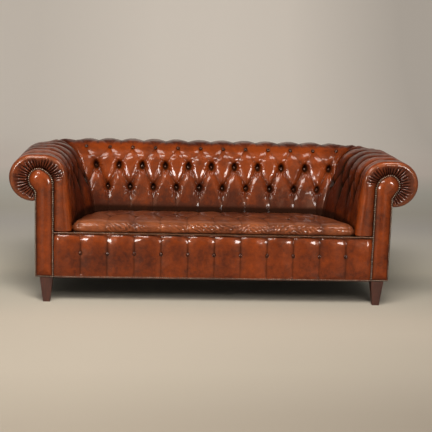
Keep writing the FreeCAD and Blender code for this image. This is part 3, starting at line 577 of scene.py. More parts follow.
def upholstered(name, cover, relief, spacing, rows, finishes, replaced, tone_of):
    """A closed, buttoned cover over a section, from one end to the other, each end with its finish."""
    section = cover.section
    low, high = cover.ends(section.place(rows[:, None], 0.0)[0])
    u = low + (high - low) * np.linspace(0.0, 1.0, int(np.max(high - low) / spacing))[None, :]
    v = np.broadcast_to(rows[:, None], u.shape)
    depth, crease = relief.at(u, v)
    for end, finish in zip((low, high), finishes):
        pull = finish[0] * np.clip(1 - np.abs(u - end) / finish[1], 0, 1) ** 2
        depth = np.maximum(depth, pull) + 0.15 * pull
        # a dark seam at a mitred end, with painted shade spreading into the corner
        if finish == MITRED:
            crease = np.maximum(crease, np.exp(-np.abs(u - end) / 9.0))
            crease = np.maximum(crease, 0.35 * np.exp(-np.abs(u - end) / 34.0))
    # painted shade at the foot, where the cover meets the seat
    crease = np.maximum(crease, 0.88 * (1 - rise(v, 30.0, 60.0)))
    off, z = section.place(v, np.minimum(depth - cover.swell(u, v), CORE - 3.0))
    moved = settled(cover, u, v)
    exact_low, exact_high = cover.ends(off)
    moved[:, 0], moved[:, -1] = exact_low[:, 0], exact_high[:, -1]
    core_off, core_z = section.place(rows, CORE)
    core_low, core_high = cover.ends(core_off)
    core = np.stack([cover.point(end, core_off, core_z) for end in (core_high, core_low)], axis=1)
    dye_and_painted_light = stacked(crease, tone_of(u, v), 0.0)
    leather_cover(name, cover.point(moved, off, z), core, leather, dye_and_painted_light, [replaced])


# The inside back

back_section = Section(BACK_BOTTOM)
BACK_ROWS = (
    back_section.flat_start + ROLL_FLAT / 2,
    back_section.roll(47.0),
    back_section.roll(-6.0),
    back_section.face(493.0),
)
BACK_MIDDLES = middles(BACK_COLUMNS)
back_buttons = []


def strayed(x, row):
    """Where a hand-tied button of the back really sits: every row drifts a little to one side."""
    if row < 2:
        return x + 13.0 - (6.0, 12.0)[row] * x / 690.0
    start, drift, reach = ((11.0, 20.0, 625.0), (10.0, 28.0, 562.0))[row - 2]
    return x + start + drift * min(max(x / reach, 0.0), 1.0) ** 2


def back_relief():
    """Pits and folds of the back."""
    end = back_section.end
    relief = Relief(-1010, 1010, -5, end + 5)
    r0, r1, r2, r3 = BACK_ROWS
    pit3, pit2, pit1, pit0 = 40.0, 41.0, 10.0, 15.0
    seed = 0
    wide = [BACK_MIDDLES[0] - BACK_PITCH, *BACK_MIDDLES, BACK_MIDDLES[-1] + BACK_PITCH]
    tops = [strayed(x, 0) for x in wide]
    first = [strayed(x, 1) for x in BACK_COLUMNS]
    second = [strayed(x, 2) for x in BACK_MIDDLES]
    outer = [strayed(x, 3) for x in BACK_COLUMNS]
    for x in outer[1:-1]:
        relief.pit((x, r3), pit3, 38.0, seed=seed)
        relief.gathers((x, r3), (0.0, -1.0), 34.0, 1.3, seed=seed)
        back_buttons.append((x, r3, pit3, BUTTON))
        relief.crease((x, r3), (x, -30.0), (22.0, 6.0), 2.5, 34.0, fold=0.8, sway=2.0, seed=seed, dark=0.5)
        seed += 1
    for x in second:
        relief.pit((x, r2), pit2, 40.0, puckers=12, pucker=0.7, seed=seed)
        relief.gathers((x, r2), (0.0, -1.0), 36.0, 1.3, seed=seed)
        relief.gathers((x, r2), (0.0, 1.0), 22.0, 0.5, seed=seed + 3)
        back_buttons.append((x, r2, pit2, BUTTON))
        seed += 1
    for x in first:
        relief.pit((x, r1), pit1, 23.0, pucker=0.3, seed=seed, dark=0.9, core=0.5)
        back_buttons.append((x, r1, pit1 - 2.5, 10.0))
        relief.crease((x, r1), (x, r1 + 46.0), (5.0, 0.0), 1.5, 14.0, fold=0.8, sway=1.0, seed=seed, dark=0.4)
        seed += 1
    for x in tops:
        if abs(x) < 700:
            relief.pit((x, r0 + 22), pit0, 26.0, pucker=0.4, seed=seed, dark=0.7)
            back_buttons.append((x, r0 + 22, pit0 + 14.0, BUTTON))
        relief.crease((x, r0 - 80), (x, end + 30), (3.0, 12.0), 16.0, 62.0, fold=0.7, sway=2.0, seed=seed, dark=0.5)
        seed += 1
    for k, x in enumerate(outer):
        for other in second[max(k - 1, 0) : k + 1]:
            relief.crease((x, r3), (other, r2), (22.0, 24.0), 10.0, 42.0, fold=1.8, lap=1.0, seed=seed, dark=0.5)
            seed += 1
    for k, x in enumerate(second):
        for other in first[k : k + 2]:
            relief.crease((x, r2), (other, r1), (18.0, 5.0), 5.0, 40.0, fold=0.8, lap=0.4, seed=seed, dark=0.30)
            seed += 1
    for k, x in enumerate(first):
        for other in tops[k : k + 2]:
            relief.crease((x, r1), (other, r0), (4.0, 9.0), 3.5, 36.0, fold=0.5, seed=seed, dark=0.20)
            seed += 1
    return relief.done(soften=4.0, seed=11, shade_from=5.0, shade_over=17.0)


def back_tone(u, v):
    """Orange on the crowns under the top row, browner low down and along the top."""
    top = rise(v, BACK_ROWS[1] + 10.0, BACK_ROWS[1] + 60.0) * 0.85
    low = 1 - rise(v, 90.0, BACK_ROWS[2] - 6.0)
    # painted shade at the foot, by the seat
    foot = 1 - rise(v, 30.0, 95.0)
    ends = rise(np.abs(u), 590.0, 720.0) * 0.3
    tone = np.clip(0.05 + top + 0.42 * low + 0.35 * foot + ends, 0, 1)
    return np.clip(tone + 0.24 * (1 - rise(v, 90.0, 230.0)), 0, 1)


def back_point(u, off, z):
    return stacked(u, REAR - off, z)


def back_ends(off):
    reach = HALF_WIDTH - off - MITRE_GAP
    return -reach, reach


def back_swell(u, v):
    """How much fuller the back is towards its two corners."""
    reach = back_ends(back_section.place(v, 0.0)[0])[1]
    return corner_swell(back_section, v, np.clip(reach - np.abs(u), 0, None), 62.0, 100.0)


BACK = Cover(back_section, back_point, back_ends, back_swell)
upholstered(
    "inside_back", BACK, back_relief(), 2.7, back_section.rows(2.6, 6.0), (MITRED, MITRED),
    "inside_back_cover", back_tone,
)


# The inside arms

arm_section = Section(ARM_BOTTOM)
ARM_LOW = arm_section.face(520.0)
ARM_HIGH = arm_section.roll(7.0)
ARM_FRONT = BOARD_BACK + 0.3
ARM_PIT = 36.0
arm_buttons = {1: [], -1: []}


def arm_relief(side):
    """Pits and long folds of an arm."""
    flat, end = arm_section.flat_start, arm_section.end
    relief = Relief(-400, 460, -5, end + 5)
    between = middles(ARM_COLUMNS)
    seed = 100 + 50 * side
    for y in between[:3]:
        relief.pit((y, ARM_LOW), ARM_PIT, 38.0, seed=seed)
        arm_buttons[side].append((y, ARM_LOW, ARM_PIT, BUTTON))
        seed += 1
    for y in between:
        ends = (ARM_PIT if y < 50 else 14.0, 18.0)
        relief.crease((y, ARM_LOW), (y, -30.0), ends, 10.0, 48.0, fold=3.4, seed=seed, dark=0.8)
        seed += 1
    for y in ARM_COLUMNS[:4]:
        relief.pit((y, ARM_HIGH), ARM_PIT, 36.0, seed=seed)
        arm_buttons[side].append((y, ARM_HIGH, ARM_PIT, BUTTON))
        seed += 1
    for y in ARM_COLUMNS:
        deep = ARM_PIT if y < 100 else 20.0
        relief.crease((y, ARM_HIGH), (y, flat), (deep, 15.0), 16.0, 52.0, fold=3.4, sway=4.0, lap=0.8, seed=seed)
        relief.crease((y, flat), (y, end + 30), (15.0, 11.0), 14.0, 52.0, fold=3.0, lap=0.6, seed=seed + 1, dark=0.9)
        seed += 2
        for low in (y - ARM_PITCH / 2, y + ARM_PITCH / 2):
            if low > between[0] - 5:
                relief.crease((y, ARM_HIGH), (low, ARM_LOW), (deep, ARM_PIT), 15.0, 46.0, fold=4.0, lap=0.9, seed=seed)
                seed += 1
    for k in range(4):
        y = 226.3 + ARM_PITCH / 2 * k
        relief.crease((y, ARM_HIGH + 60), (y, end + 30), (0.0, 8.0), 7.0, 40.0, fold=2.4, seed=seed, dark=0.7)
        seed += 1
    return relief.done(seed=31 + side, lumps=2.6, shade_from=3.5, shade_over=12.0)


def arm_tone(u, v):
    """Dark brown arms, a little brighter on the roll near the front and at the foot of the front edge."""
    front = 1 - rise(u, -330.0, -120.0)
    over = rise(v, arm_section.face_length, arm_section.flat_start)
    return np.clip(0.95 - 0.5 * front - 0.25 * over, 0, 1)


def arm_ends(off):
    return ARM_FRONT + 0 * off, REAR - off - MITRE_GAP


def arm_swell(u, v):
    """How much fuller an arm is towards the corner."""
    reach = arm_ends(arm_section.place(v, 0.0)[0])[1]
    return corner_swell(arm_section, v, np.clip(reach - u, 0, None), 92.0, 190.0)


def arm_cover(side):
    """The right or left arm's cover."""
    return Cover(
        arm_section, lambda u, off, z: stacked(side * (HALF_WIDTH - off), u, z), arm_ends, arm_swell
    )


for side, hand in SIDES:
    upholstered(
        "inside_arm_" + hand, arm_cover(side), arm_relief(side), 2.8, arm_section.rows(2.7, 5.0),
        (SQUARE, MITRED), "inside_arm_cover_" + hand, arm_tone,
    )


# Buttons


def dome(radius, height, rings, sides):
    """A covered button or nail head, its way out along +Z: points and faces."""
    verts, faces = [], []
    profile = [(radius, -height * 0.8)]
    for k in range(rings):
        turn = math.pi / 2 * k / rings
        profile.append((radius * math.cos(turn), height * math.sin(turn)))
    for r, z in profile:
        for s in range(sides):
            turn = 2 * math.pi * s / sides
            verts.append((r * math.cos(turn), r * math.sin(turn), z))
    top = rings * sides
    for a in range(0, top, sides):
        for s in range(sides):
            here, after = a + s, a + (s + 1) % sides
            faces.append((here, after, after + sides, here + sides))
    verts.append((0.0, 0.0, height))
    faces += [(top + s, top + (s + 1) % sides, len(verts) - 1) for s in range(sides)]
    faces.append(tuple(reversed(range(sides))))
    return np.array(verts), faces


def scatter(name, form, places, material, replaced):
    """Many copies of one small form, each at (place, way out, scale, spin), as one piece."""
    verts, faces, dyes_and_painted_light = [], [], []
    base, base_faces = form
    edge = np.hypot(base[:, 0], base[:, 1])
    edge = np.clip(edge / edge.max(), 0, 1)
    for place, way, scale, spin in places:
        turn = Vector(way).to_track_quat("Z", "Y").to_matrix() @ Matrix.Rotation(spin, 3, "Z")
        start = len(verts)
        verts += (base * scale @ np.array(turn).T + np.array(place)).tolist()
        faces += [tuple(start + k for k in face) for face in base_faces]
        # painted shade round each button's rim
        dyes_and_painted_light += stacked(0.55 * edge**3, 0.5 + 0.3 * math.sin(7 * start), 0.0).tolist()
    make_object(name, verts, faces, material, np.array(dyes_and_painted_light), [replaced])


covered = dome(BUTTON, 4.2, 5, 18)


def set_buttons(where, node_name, places):
    """Covered buttons as one piece."""
    scatter("buttons_of_" + where, covered, places, button_leather, node_name)


def button_places(cover, entries, seed):
    """Places and ways out of the buttons at the bottoms of their pits."""
    rng = np.random.default_rng(seed)
    out = []
    for u, v, depth, radius in entries:
        here, path = np.array([u]), np.array([v])
        fuller = cover.swell(here, path)
        here = settled(cover, here, path)
        a, b = (
            cover.point(here, *cover.section.place(path, under - fuller))[0] for under in (depth - 6.0, -30.0)
        )
        way = (b - a) / np.linalg.norm(b - a) + rng.normal(0, 0.06, 3)
        out.append((a, way, radius / BUTTON, rng.random() * 6))
    return out


set_buttons("back", "back_buttons", button_places(BACK, back_buttons, 5))
for side, hand in SIDES:
    places = button_places(arm_cover(side), arm_buttons[side], 6 + side)
    set_buttons("arm_" + hand, "arm_buttons_" + hand, places)


# Arm fronts


def facing_outline(inset, count=360):
    """The right facing seen from the front, as evenly numbered places: up the inside, round the head and down."""
    radius = HEAD - inset
    inner, outer = FACING_IN + inset, FACING_OUT - inset
    foot = LEG_HEIGHT + inset
    shoulder = (inner, HEAD_Z - 20.0)
    top = (HEAD_X, HEAD_Z + radius)
    neck_end = round_point(HEAD_X, HEAD_Z, radius, -50)
    neck_foot = (outer, neck_end[1] - 24.0)
    pts = []
    n = count // 6

    def straight(a, b, m):
        pts.extend([(a[0] + (b[0] - a[0]) * k / m, a[1] + (b[1] - a[1]) * k / m) for k in range(m)])

    straight((inner, foot), shoulder, 2 * n)
    middle = ((shoulder[0] + top[0]) / 2, (shoulder[1] + top[1]) / 2)
    bow = (middle[0] - 0.33 * (top[1] - middle[1]), middle[1] + 0.33 * (middle[0] - shoulder[0]))
    control = (2 * bow[0] - middle[0], 2 * bow[1] - middle[1])
    for k in range(n):
        t = k / n
        pts.append(tuple(
            (1 - t) ** 2 * s + 2 * t * (1 - t) * c + t * t * e for s, c, e in zip(shoulder, control, top)
        ))
    pts += [round_point(HEAD_X, HEAD_Z, radius, 90 - 140 * k / n) for k in range(n)]
    straight(neck_end, neck_foot, n // 4)
    straight(neck_foot, (outer, foot), 2 * n - n // 4)
    straight((outer, foot), (inner, foot), n // 2)
    return np.array(pts)


def border_outline():
    """The arm's outer line at the front, from the foot of the inside up over the roll to its underside."""
    foot = WELT_Z + 6.0
    pts = [
        (HALF_WIDTH - ARM_BOTTOM + 3.0 + 22.0 * t, foot + (ROLL_Z - WELT_Z - 6.0) * t)
        for t in np.linspace(0, 1, 80)
    ]
    pts += [round_point(HALF_WIDTH - ROLL_WIDTH + ROLL, ROLL_Z, ROLL, a) for a in np.linspace(180, 90, 60)]
    pts += [round_point(HALF_WIDTH - ROLL, ROLL_Z, ROLL, a) for a in np.linspace(90, -100, 120)]
    return np.array(pts)


def ray_hit(outline, start, way, closed):
    """Distance from start along way to the first crossing with an outline."""
    a, b = outline, np.roll(outline, -1, axis=0)
    if not closed:
        a, b = a[:-1], b[:-1]
    e = b - a
    cross = way[0] * e[:, 1] - way[1] * e[:, 0]
    cross = np.where(np.abs(cross) < 1e-9, 1e-9, cross)
    d = a - np.array(start)
    t = (d[:, 0] * e[:, 1] - d[:, 1] * e[:, 0]) / cross
    s = (d[:, 0] * way[1] - d[:, 1] * way[0]) / cross
    return float(np.min(t[(s >= -1e-6) & (s <= 1 + 1e-6) & (t > 1e-6)]))


# How far in from its edge each ring of a facing lies. The edge comes twice, which keeps it crisp at the back.
FACING_INSETS = (
    0.0, 0.0, 0.6, 2.0, 4.5, 7.5, 8.5, 10.0, 12.0, 14.5, 18.0, 22.0, 26.0, 30.0, 34.0, 38.0, 41.0, 44.0, 45.6,
)
NAIL_BED = 12.0
FACING_CROWN = 13.0


def make_facing(side, hand):
    """The padded facing: a flat strip under the nails, then a crowned panel with a softly rounded edge."""
    points, dye_and_painted_light = [], []
    for inset in FACING_INSETS:
        ring = facing_outline(inset)
        across = min(max(inset - 8.0, 0) / 38.0, 1.0)
        high = NAIL_BED * (1 - math.exp(-inset / 1.2))
        high += FACING_CROWN * math.sin(math.pi / 2 * across) ** 0.8
        low_fade = rise(ring[:, 1], LEG_HEIGHT, LEG_HEIGHT + 40.0)
        crown = max(high - NAIL_BED, 0.0)
        y = FACING_BACK - min(high, NAIL_BED) - crown * (0.6 + 0.4 * low_fade)
        y = y + 0.5 * soft_noise(ring[:, 0], ring[:, 1], 60.0, 70 + side) * min(high / 20.0, 1.0)
        points.append(stacked(side * ring[:, 0], y, ring[:, 1]))
        # painted shade in the nail bed beside the nails
        dark = math.exp(-((high - NAIL_BED) / 4.5) ** 2) if high > 10 else 1.0
        tone = 0.2258 + 0.25 * soft_noise(ring[:, 0], ring[:, 1], 90.0, 71)
        tone = tone + 0.2 * (1 - rise(ring[:, 1], 130, 400))
        dye_and_painted_light.append(stacked(0.75 * dark, tone, 0.0))
    rings_object("facing_" + hand, np.array(points), leather, np.array(dye_and_painted_light), ["arm_facing_" + hand])


FAN_FIRST, FAN_LAST = 186.0, -76.0
FAN_STEPS = 560
PLEAT_TURN = 9.2
PLEAT_HEIGHT = 7.5


def scroll_spokes():
    """Lines across the scroll border, from the facing out: start, way, width, and the angle round the head."""
    facing = facing_outline(0.0, 720)
    outline = border_outline()
    spokes = []
    fan_z = HEAD_Z + math.sin(math.radians(FAN_FIRST)) * (HEAD_X - FACING_IN)
    for z in np.arange(WELT_Z + 6.0, fan_z - 1.0, 4.0):
        lean = math.radians(180.0 + (FAN_FIRST - 180.0) * rise(z, 500.0, fan_z))
        way = (math.cos(lean), math.sin(lean))
        spokes.append(((FACING_IN, z), way, ray_hit(outline, (FACING_IN, z), way, False), None))
    for k in range(FAN_STEPS + 1):
        angle = FAN_FIRST + (FAN_LAST - FAN_FIRST) * k / FAN_STEPS
        way = (math.cos(math.radians(angle)), math.sin(math.radians(angle)))
        inner = ray_hit(facing, (HEAD_X, HEAD_Z), way, True)
        outer = ray_hit(outline, (HEAD_X, HEAD_Z), way, False)
        spokes.append(((HEAD_X + inner * way[0], HEAD_Z + inner * way[1]), way, outer - inner, angle))
    return spokes


def make_scroll(side, hand):
    """The padded border round the facing, gathered into fine pleats round the head."""
    rng = np.random.default_rng(17 + side)
    edges = [FAN_FIRST + 2]
    while edges[-1] > FAN_LAST:
        edges.append(edges[-1] - PLEAT_TURN * rng.uniform(0.8, 1.2))
    lengths = rng.uniform(0.62, 0.86, len(edges) + 1)
    depths = rng.uniform(0.75, 1.15, len(edges) + 1)
    across = np.concatenate([np.linspace(0.0, 0.82, 22), np.linspace(0.84, 1.0, 12)])
    rings, dyes_and_painted_light = [], []
    for start, way, width, angle in scroll_spokes():
        w = across * width
        # padded roll: sunk at the nails, a broad swell, a rounded rim
        sink = 9.0 * np.exp(-w / 11.0)
        swell = -4.0 * np.clip(w / max(width, 1.0), 0, 1) ** 0.6
        inner_side = 1.0 if angle is None else rise(angle, 120.0, 186.0)
        round_r = 21.0 + 17.0 * inner_side * (1 - rise(start[1], 560.0, 640.0))
        edge = np.clip((w - (width - round_r)) / round_r, 0, 1)
        rim = round_r * (1 - np.sqrt(np.clip(1 - edge**2, 0, 1)))
        y = FRONT + 9.0 + sink + swell + rim
        # painted shade in the sunk line at the nails
        crease = 0.8 * np.exp(-w / 5.0)
        tone = 0.42
        if angle is not None:
            k = int(np.searchsorted(-np.array(edges), -angle))
            k = min(max(k, 1), len(edges) - 1)
            t = (edges[k - 1] - angle) / (edges[k - 1] - edges[k])
            fold = (1 - math.sin(math.pi * t) ** 1.2) * depths[k]
            reach = lengths[k] * min(width, 82.0)
            ease = rise(angle, FAN_LAST, FAN_LAST + 8) * (1 - rise(angle, FAN_FIRST - 20, FAN_FIRST - 2))
            strong = (1 - rise(w, reach * 0.55, reach)) * ease
            y = y + PLEAT_HEIGHT * fold * strong * (0.5 + 0.5 * np.exp(-w / 30.0))
            # painted shade in the valleys of the pleats
            crease = np.maximum(crease, strong * (1 - rise(min(t, 1 - t), 0.06, 0.30)))
            tone = tone + 0.5 * ease * (1 - rise(w, 0.8 * reach, 1.4 * reach))
        tone = tone - 0.3 * rise(width - w, 30.0, 8.0)
        # a lighter band by the rim: rubbing together with a painted highlight
        rim_wear_and_highlight = np.exp(-(((width - w - 11.0) / 6.0) ** 2)) * (1 - 0.7 * inner_side)
        x, z = start[0] + way[0] * w, start[1] + way[1] * w
        back = [[side * x[-1], BOARD_BACK, z[-1]], [side * start[0], BOARD_BACK, start[1]]]
        rings.append(np.concatenate([stacked(side * x, y, z), back]))
        dyes_and_painted_light.append(np.concatenate([stacked(crease, tone, rim_wear_and_highlight), [[0.2, 0.4, 0.0], [1.0, 1.0, 0.0]]]))
    rings_object(
        "scroll_border_" + hand, np.array(rings), leather, np.clip(np.array(dyes_and_painted_light), 0, 1),
        ["arm_scroll_border_" + hand],
    )


for side, hand in SIDES:
    make_facing(side, hand)
    make_scroll(side, hand)


# Seat

SEAT_HALF = 690.0
SEAT_PIT = 10.0
SEAT_FLOOR = 349.8
# The outer line from the welt up the lip and back to the inside back, as (y, z) in mm
SEAT_LINE = (
    (-428.0, 352.0), (-433.0, 366.0), (-433.0, 381.0), (-427.0, 395.0), (-414.0, 405.0), (-396.0, 408.5),
    (-340.0, 407.0), (-240.0, 400.0), (-120.0, 391.0), (0.0, 381.0), (60.0, 374.5), (92.0, 367.0),
    (105.0, 355.0),
)
# Half the seat's width along its depth, as (y, half width) in mm
SEAT_PLAN = (
    (-440.0, 704.0), (-400.0, 700.0), (-300.0, 690.0), (-150.0, 679.0),
    (-50.0, 645.0), (0.0, 622.0), (50.0, 597.0), (105.0, 566.0),
)


def seat_profile():
    """A smooth curve through the points of the seat's line: path lengths and places."""
    p = np.array(SEAT_LINE)
    d = np.concatenate([[0], np.cumsum(np.hypot(*np.diff(p, axis=0).T))])
    fine = np.arange(0, d[-1], 2.6)
    i = np.clip(np.searchsorted(d, fine, side="right") - 1, 0, len(d) - 2)
    h = d[i + 1] - d[i]
    t = (fine - d[i]) / h
    out = []
    for c in (0, 1):
        m = np.gradient(p[:, c], d)
        out.append((2 * t**3 - 3 * t**2 + 1) * p[i, c] + (t**3 - 2 * t**2 + t) * h * m[i]
                   + (-2 * t**3 + 3 * t**2) * p[i + 1, c] + (t**3 - t**2) * h * m[i + 1])
    return fine, np.stack(out, -1)


def seat_relief(end, row1, row2, entries):
    """Shallow pits and pleats of the seat's top."""
    relief = Relief(-700, 700, -5, end + 5)
    seed = 300
    for x in FLUTES:
        relief.crease((x, -20.0), (x, row1), (5.0, 9.0), 4.0, 40.0, fold=1.5, seed=seed, dark=0.45)
        seed += 1
    for x in FLUTES[1:-1]:
        relief.pit((x, row1), SEAT_PIT, 34.0, pucker=0.4, seed=seed, dark=0.7)
        entries.append((x, row1))
        seed += 1
    for x in middles(FLUTES):
        relief.pit((x, row2), SEAT_PIT, 34.0, pucker=0.4, seed=seed, dark=0.7)
        entries.append((x, row2))
        relief.crease((x, row2), (x, end + 20), (9.0, 6.0), 4.0, 40.0, fold=1.5, seed=seed, dark=0.5)
        for other in (x - FLUTE_PITCH / 2, x + FLUTE_PITCH / 2):
            relief.crease((x, row2), (other, row1), (9.0, 9.0), 4.5, 40.0, fold=1.6, seed=seed + 1, dark=0.5)
        seed += 2
    return relief.done(soften=7.0, lumps=1.6, seed=51)


def lip_wrinkles(u, v):
    """Fine diagonal wrinkles of the lip, two crossing families in patches: where they are, and their height."""
    lip = rise(v, 4, 14) * (1 - rise(v, 50, 70)) * (1 - 0.7 * rise(np.abs(u), 560, 640))
    patch = 0.5 + 0.5 * soft_noise(u, v, 70.0, 61)
    bend = 9 * soft_noise(u, v, 40.0, 62)
    strength = 0.35 + 0.65 * rise(soft_noise(u, 0 * v, 150.0, 64), -0.4, 0.3)
    diagonal = np.sin((u * 0.8 + v * 0.9 + 1.6 * bend) / 3.3) * rise(patch, 0.25, 0.65)
    other = np.sin((u * -0.7 + v * 0.8 + 1.6 * bend) / 3.7) * (1 - rise(patch, 0.35, 0.7))
    return lip, lip * strength * (diagonal + 0.8 * other)


def make_seat():
    """The seat: rounded front lip with fine diagonal wrinkles, shallow pleats and buttons on top."""
    s, prof = seat_profile()
    tangent = np.gradient(prof, axis=0)
    tangent /= np.linalg.norm(tangent, axis=1)[:, None]
    way = stacked(-tangent[:, 1], tangent[:, 0])
    row1, row2 = (float(np.interp(y, prof[30:, 0], s[30:])) for y in (-205.0, -55.0))
    entries = []
    relief = seat_relief(s[-1], row1, row2, entries)
    v, u = np.meshgrid(s, np.linspace(-1, 1, 520) * SEAT_HALF, indexing="ij")
    depth, crease = relief.at(u, v)
    lip, wrinkle = lip_wrinkles(u, v)
    ends = np.clip(1 - (SEAT_HALF - np.abs(u)) / (46.0 + 40.0 * rise(v, 70.0, 420.0)), 0, 1)
    depth = np.minimum(depth + wrinkle + 34.0 * ends**2.4, 44.0)
    # painted shade in the lip's wrinkles, at the ends where they fall away to the arms, at the back against the inside
    # back, and at the lip's foot over the welt
    crease = np.maximum.reduce([
        0.8 * crease,
        0.75 * lip * np.clip(wrinkle - 0.2, 0, 1),
        ends**3,
        0.9 * rise(v, s[-1] - 46.0, s[-1] - 12.0),
        0.7 * (1 - rise(v, 3.0, 12.0)),
    ])
    y = prof[:, 0, None] - way[:, 0, None] * depth
    z = prof[:, 1, None] - way[:, 1, None] * depth
    # the lip's foot flattens out just over the welt
    z = np.where(z < 356.0, 351.5 + 4.5 * np.exp((z - 356.0) / 4.5), z)
    plan_y, plan_x = np.array(SEAT_PLAN).T
    x = u / SEAT_HALF * np.interp(prof[:, 0], plan_y, plan_x)[:, None]
    inner_y = np.clip(prof[:, 0], -404.0, 104.0)
    core = np.stack([stacked(half, inner_y, SEAT_FLOOR) for half in (SEAT_HALF - 4.0, 4.0 - SEAT_HALF)], axis=1)
    # darker towards the back, and at the ends with painted shade
    tone = 0.45 + 0.28 * rise(v, 90, 300) + 0.1 * soft_noise(u, v, 120.0, 63) + 0.2 * ends
    # painted highlight along the top of the lip, over a little even rubbing
    shine = rise(v, 40, 58) * (1 - rise(v, 62, 95))
    dye_and_painted_light = stacked(crease, np.clip(tone, 0, 1), np.clip(0.12 + 0.3 * shine, 0, 1))
    leather_cover("seat", stacked(x, y, z), core, seat_leather, dye_and_painted_light, ["seat_cover"])
    places = []
    rng = np.random.default_rng(9)
    for x, path in entries:
        k = int(np.searchsorted(s, path))
        base = prof[k] - way[k] * (SEAT_PIT - 2.5)
        places.append(((x, *base), (0.0, *way[k]), 0.95, rng.random() * 6))
    set_buttons("seat", "seat_buttons", places)


make_seat()


# Front border and welt

APRON_HALF = 784.7
APRON_BOTTOM = 126.0
APRON_TOP = 344.7
APRON_BUTTON_Z = 249.35
APRON_PIT = 12.0


def make_apron():
    """The fluted front: soft upright panels between creases, gathered under the welt."""
    relief = Relief(-800, 800, 120, 350)
    seed = 500
    for x in FLUTES:
        relief.crease((x, 136.0), (x, 352.0), (4.0, 9.0), 7.0, 64.0, fold=1.7, sway=2.2, seed=seed, dark=0.55)
        relief.crease((x, 262.0), (x, 300.0), (8.0, 8.0), 8.0, 40.0, fold=2.4, sway=0.5, seed=seed, dark=0.7)
        relief.pit((x, APRON_BUTTON_Z), APRON_PIT, 22.0, pucker=0.3, seed=seed, dark=0.85)
        for away in (-1, 1):
            relief.crease((x + away * 16, 352.0), (x + away * 3, 318.0), (3.0, 0.0), 1.0, 12.0,
                          fold=0.8, sway=1.0, seed=seed, dark=0.35)
        seed += 1
    relief.done(soften=5.0, lumps=1.3, seed=81)
    zs = np.concatenate([np.arange(APRON_BOTTOM, 320, 3.0), np.linspace(320, APRON_TOP, 18)])
    z, u = np.meshgrid(zs, np.linspace(-APRON_HALF, APRON_HALF, 600), indexing="ij")
    depth, crease = relief.at(u, z)
    depth = depth * (0.12 + 0.88 * rise(z, 134.0, 146.0))
    crest = FRONT + 5.0
    top = np.clip((z - 292.0) / (APRON_TOP - 292.0), 0, 1)
    roll_in = 19.0 * (1 - np.sqrt(np.clip(1 - (0.93 * top) ** 2, 0, 1)))
    bottom = 3.0 * (1 - rise(z, 132.0, 150.0))
    ends = 7.0 * np.clip(1 - (APRON_HALF - np.abs(u)) / 26.0, 0, 1) ** 2
    outer = stacked(u, crest + depth + roll_in + bottom + ends, z)
    core = np.stack([stacked(half, FRONT + 24.0, zs) for half in (APRON_HALF, -APRON_HALF)], axis=1)
    tone = np.clip(0.5 - 0.2 * rise(z, 250, 330) + 0.12 * soft_noise(u, z, 130.0, 82), 0, 1)
    # painted shade just under the welt
    dye_and_painted_light = stacked(np.maximum(crease, 0.75 * rise(z, 338, 345)), tone, 0.0)
    leather_cover("front_border", outer, core, leather, dye_and_painted_light, ["front_border_cover"])
    rng = np.random.default_rng(12)
    set_buttons("front", "front_buttons", [
        ((x, crest + 5.5, APRON_BUTTON_Z), (rng.normal(0, 0.08), -1.0, rng.normal(0, 0.08)), 1.1, rng.random())
        for x in FLUTES
    ])


def make_welt():
    """The round welt under the seat's lip, a little uneven."""
    xs = np.arange(-APRON_HALF, APRON_HALF + 1, 4.0)
    y = FRONT + 9.0 + 0.6 * soft_noise(xs, xs * 0 + 9, 40.0, 93)
    z = WELT_Z + 0.9 * soft_noise(xs, xs * 0, 48.0, 91) + 0.5 * soft_noise(xs, xs * 0, 17.0, 92)
    path = stacked(xs, y, z)
    tangent = np.gradient(path, axis=0)
    tangent /= np.linalg.norm(tangent, axis=1)[:, None]
    side = np.cross(tangent, (0.0, 0.0, 1.0))
    side /= np.linalg.norm(side, axis=1)[:, None]
    up = np.cross(side, tangent)
    turns = [2 * math.pi * k / 10 for k in range(10)]
    rings = np.stack([path + 3.7 * (side * math.cos(t) + up * math.sin(t)) for t in turns], axis=1)
    tone = 0.4 + 0.2 * soft_noise(rings[:, :, 0], rings[:, :, 2], 30.0, 5)
    # the welt is lightened: rubbing together with a painted sheen
    rings_object("seat_welt", rings, piping_leather, stacked(0.0, tone, 0.6), ["seat_front_welt"])


make_apron()
make_welt()


# Nails

NAIL_PITCH = 9.6
NAIL_Z = 131.0
NAIL_SIDE = 877.2
NAIL_REAR = 322.2
NAIL_CORNER = 316.0
nails = []
rng = np.random.default_rng(3)


def along(points):
    """Places at the nails' pitch on a line of points."""
    points = np.asarray(points, float)
    steps = np.linalg.norm(np.diff(points, axis=0), axis=1)
    total = np.concatenate([[0], np.cumsum(steps)])
    marks = np.linspace(0, total[-1], max(int(round(total[-1] / NAIL_PITCH)), 1) + 1)
    return np.stack([np.interp(marks, total, column) for column in points.T], -1)


def drive(places, way):
    """Nails at some places, each a little off and askew."""
    for p in places:
        tilt = np.array(way) + rng.normal(0, 0.05, 3)
        nails.append((p + rng.normal(0, 0.25, 3), tilt, rng.uniform(0.95, 1.05), rng.random()))


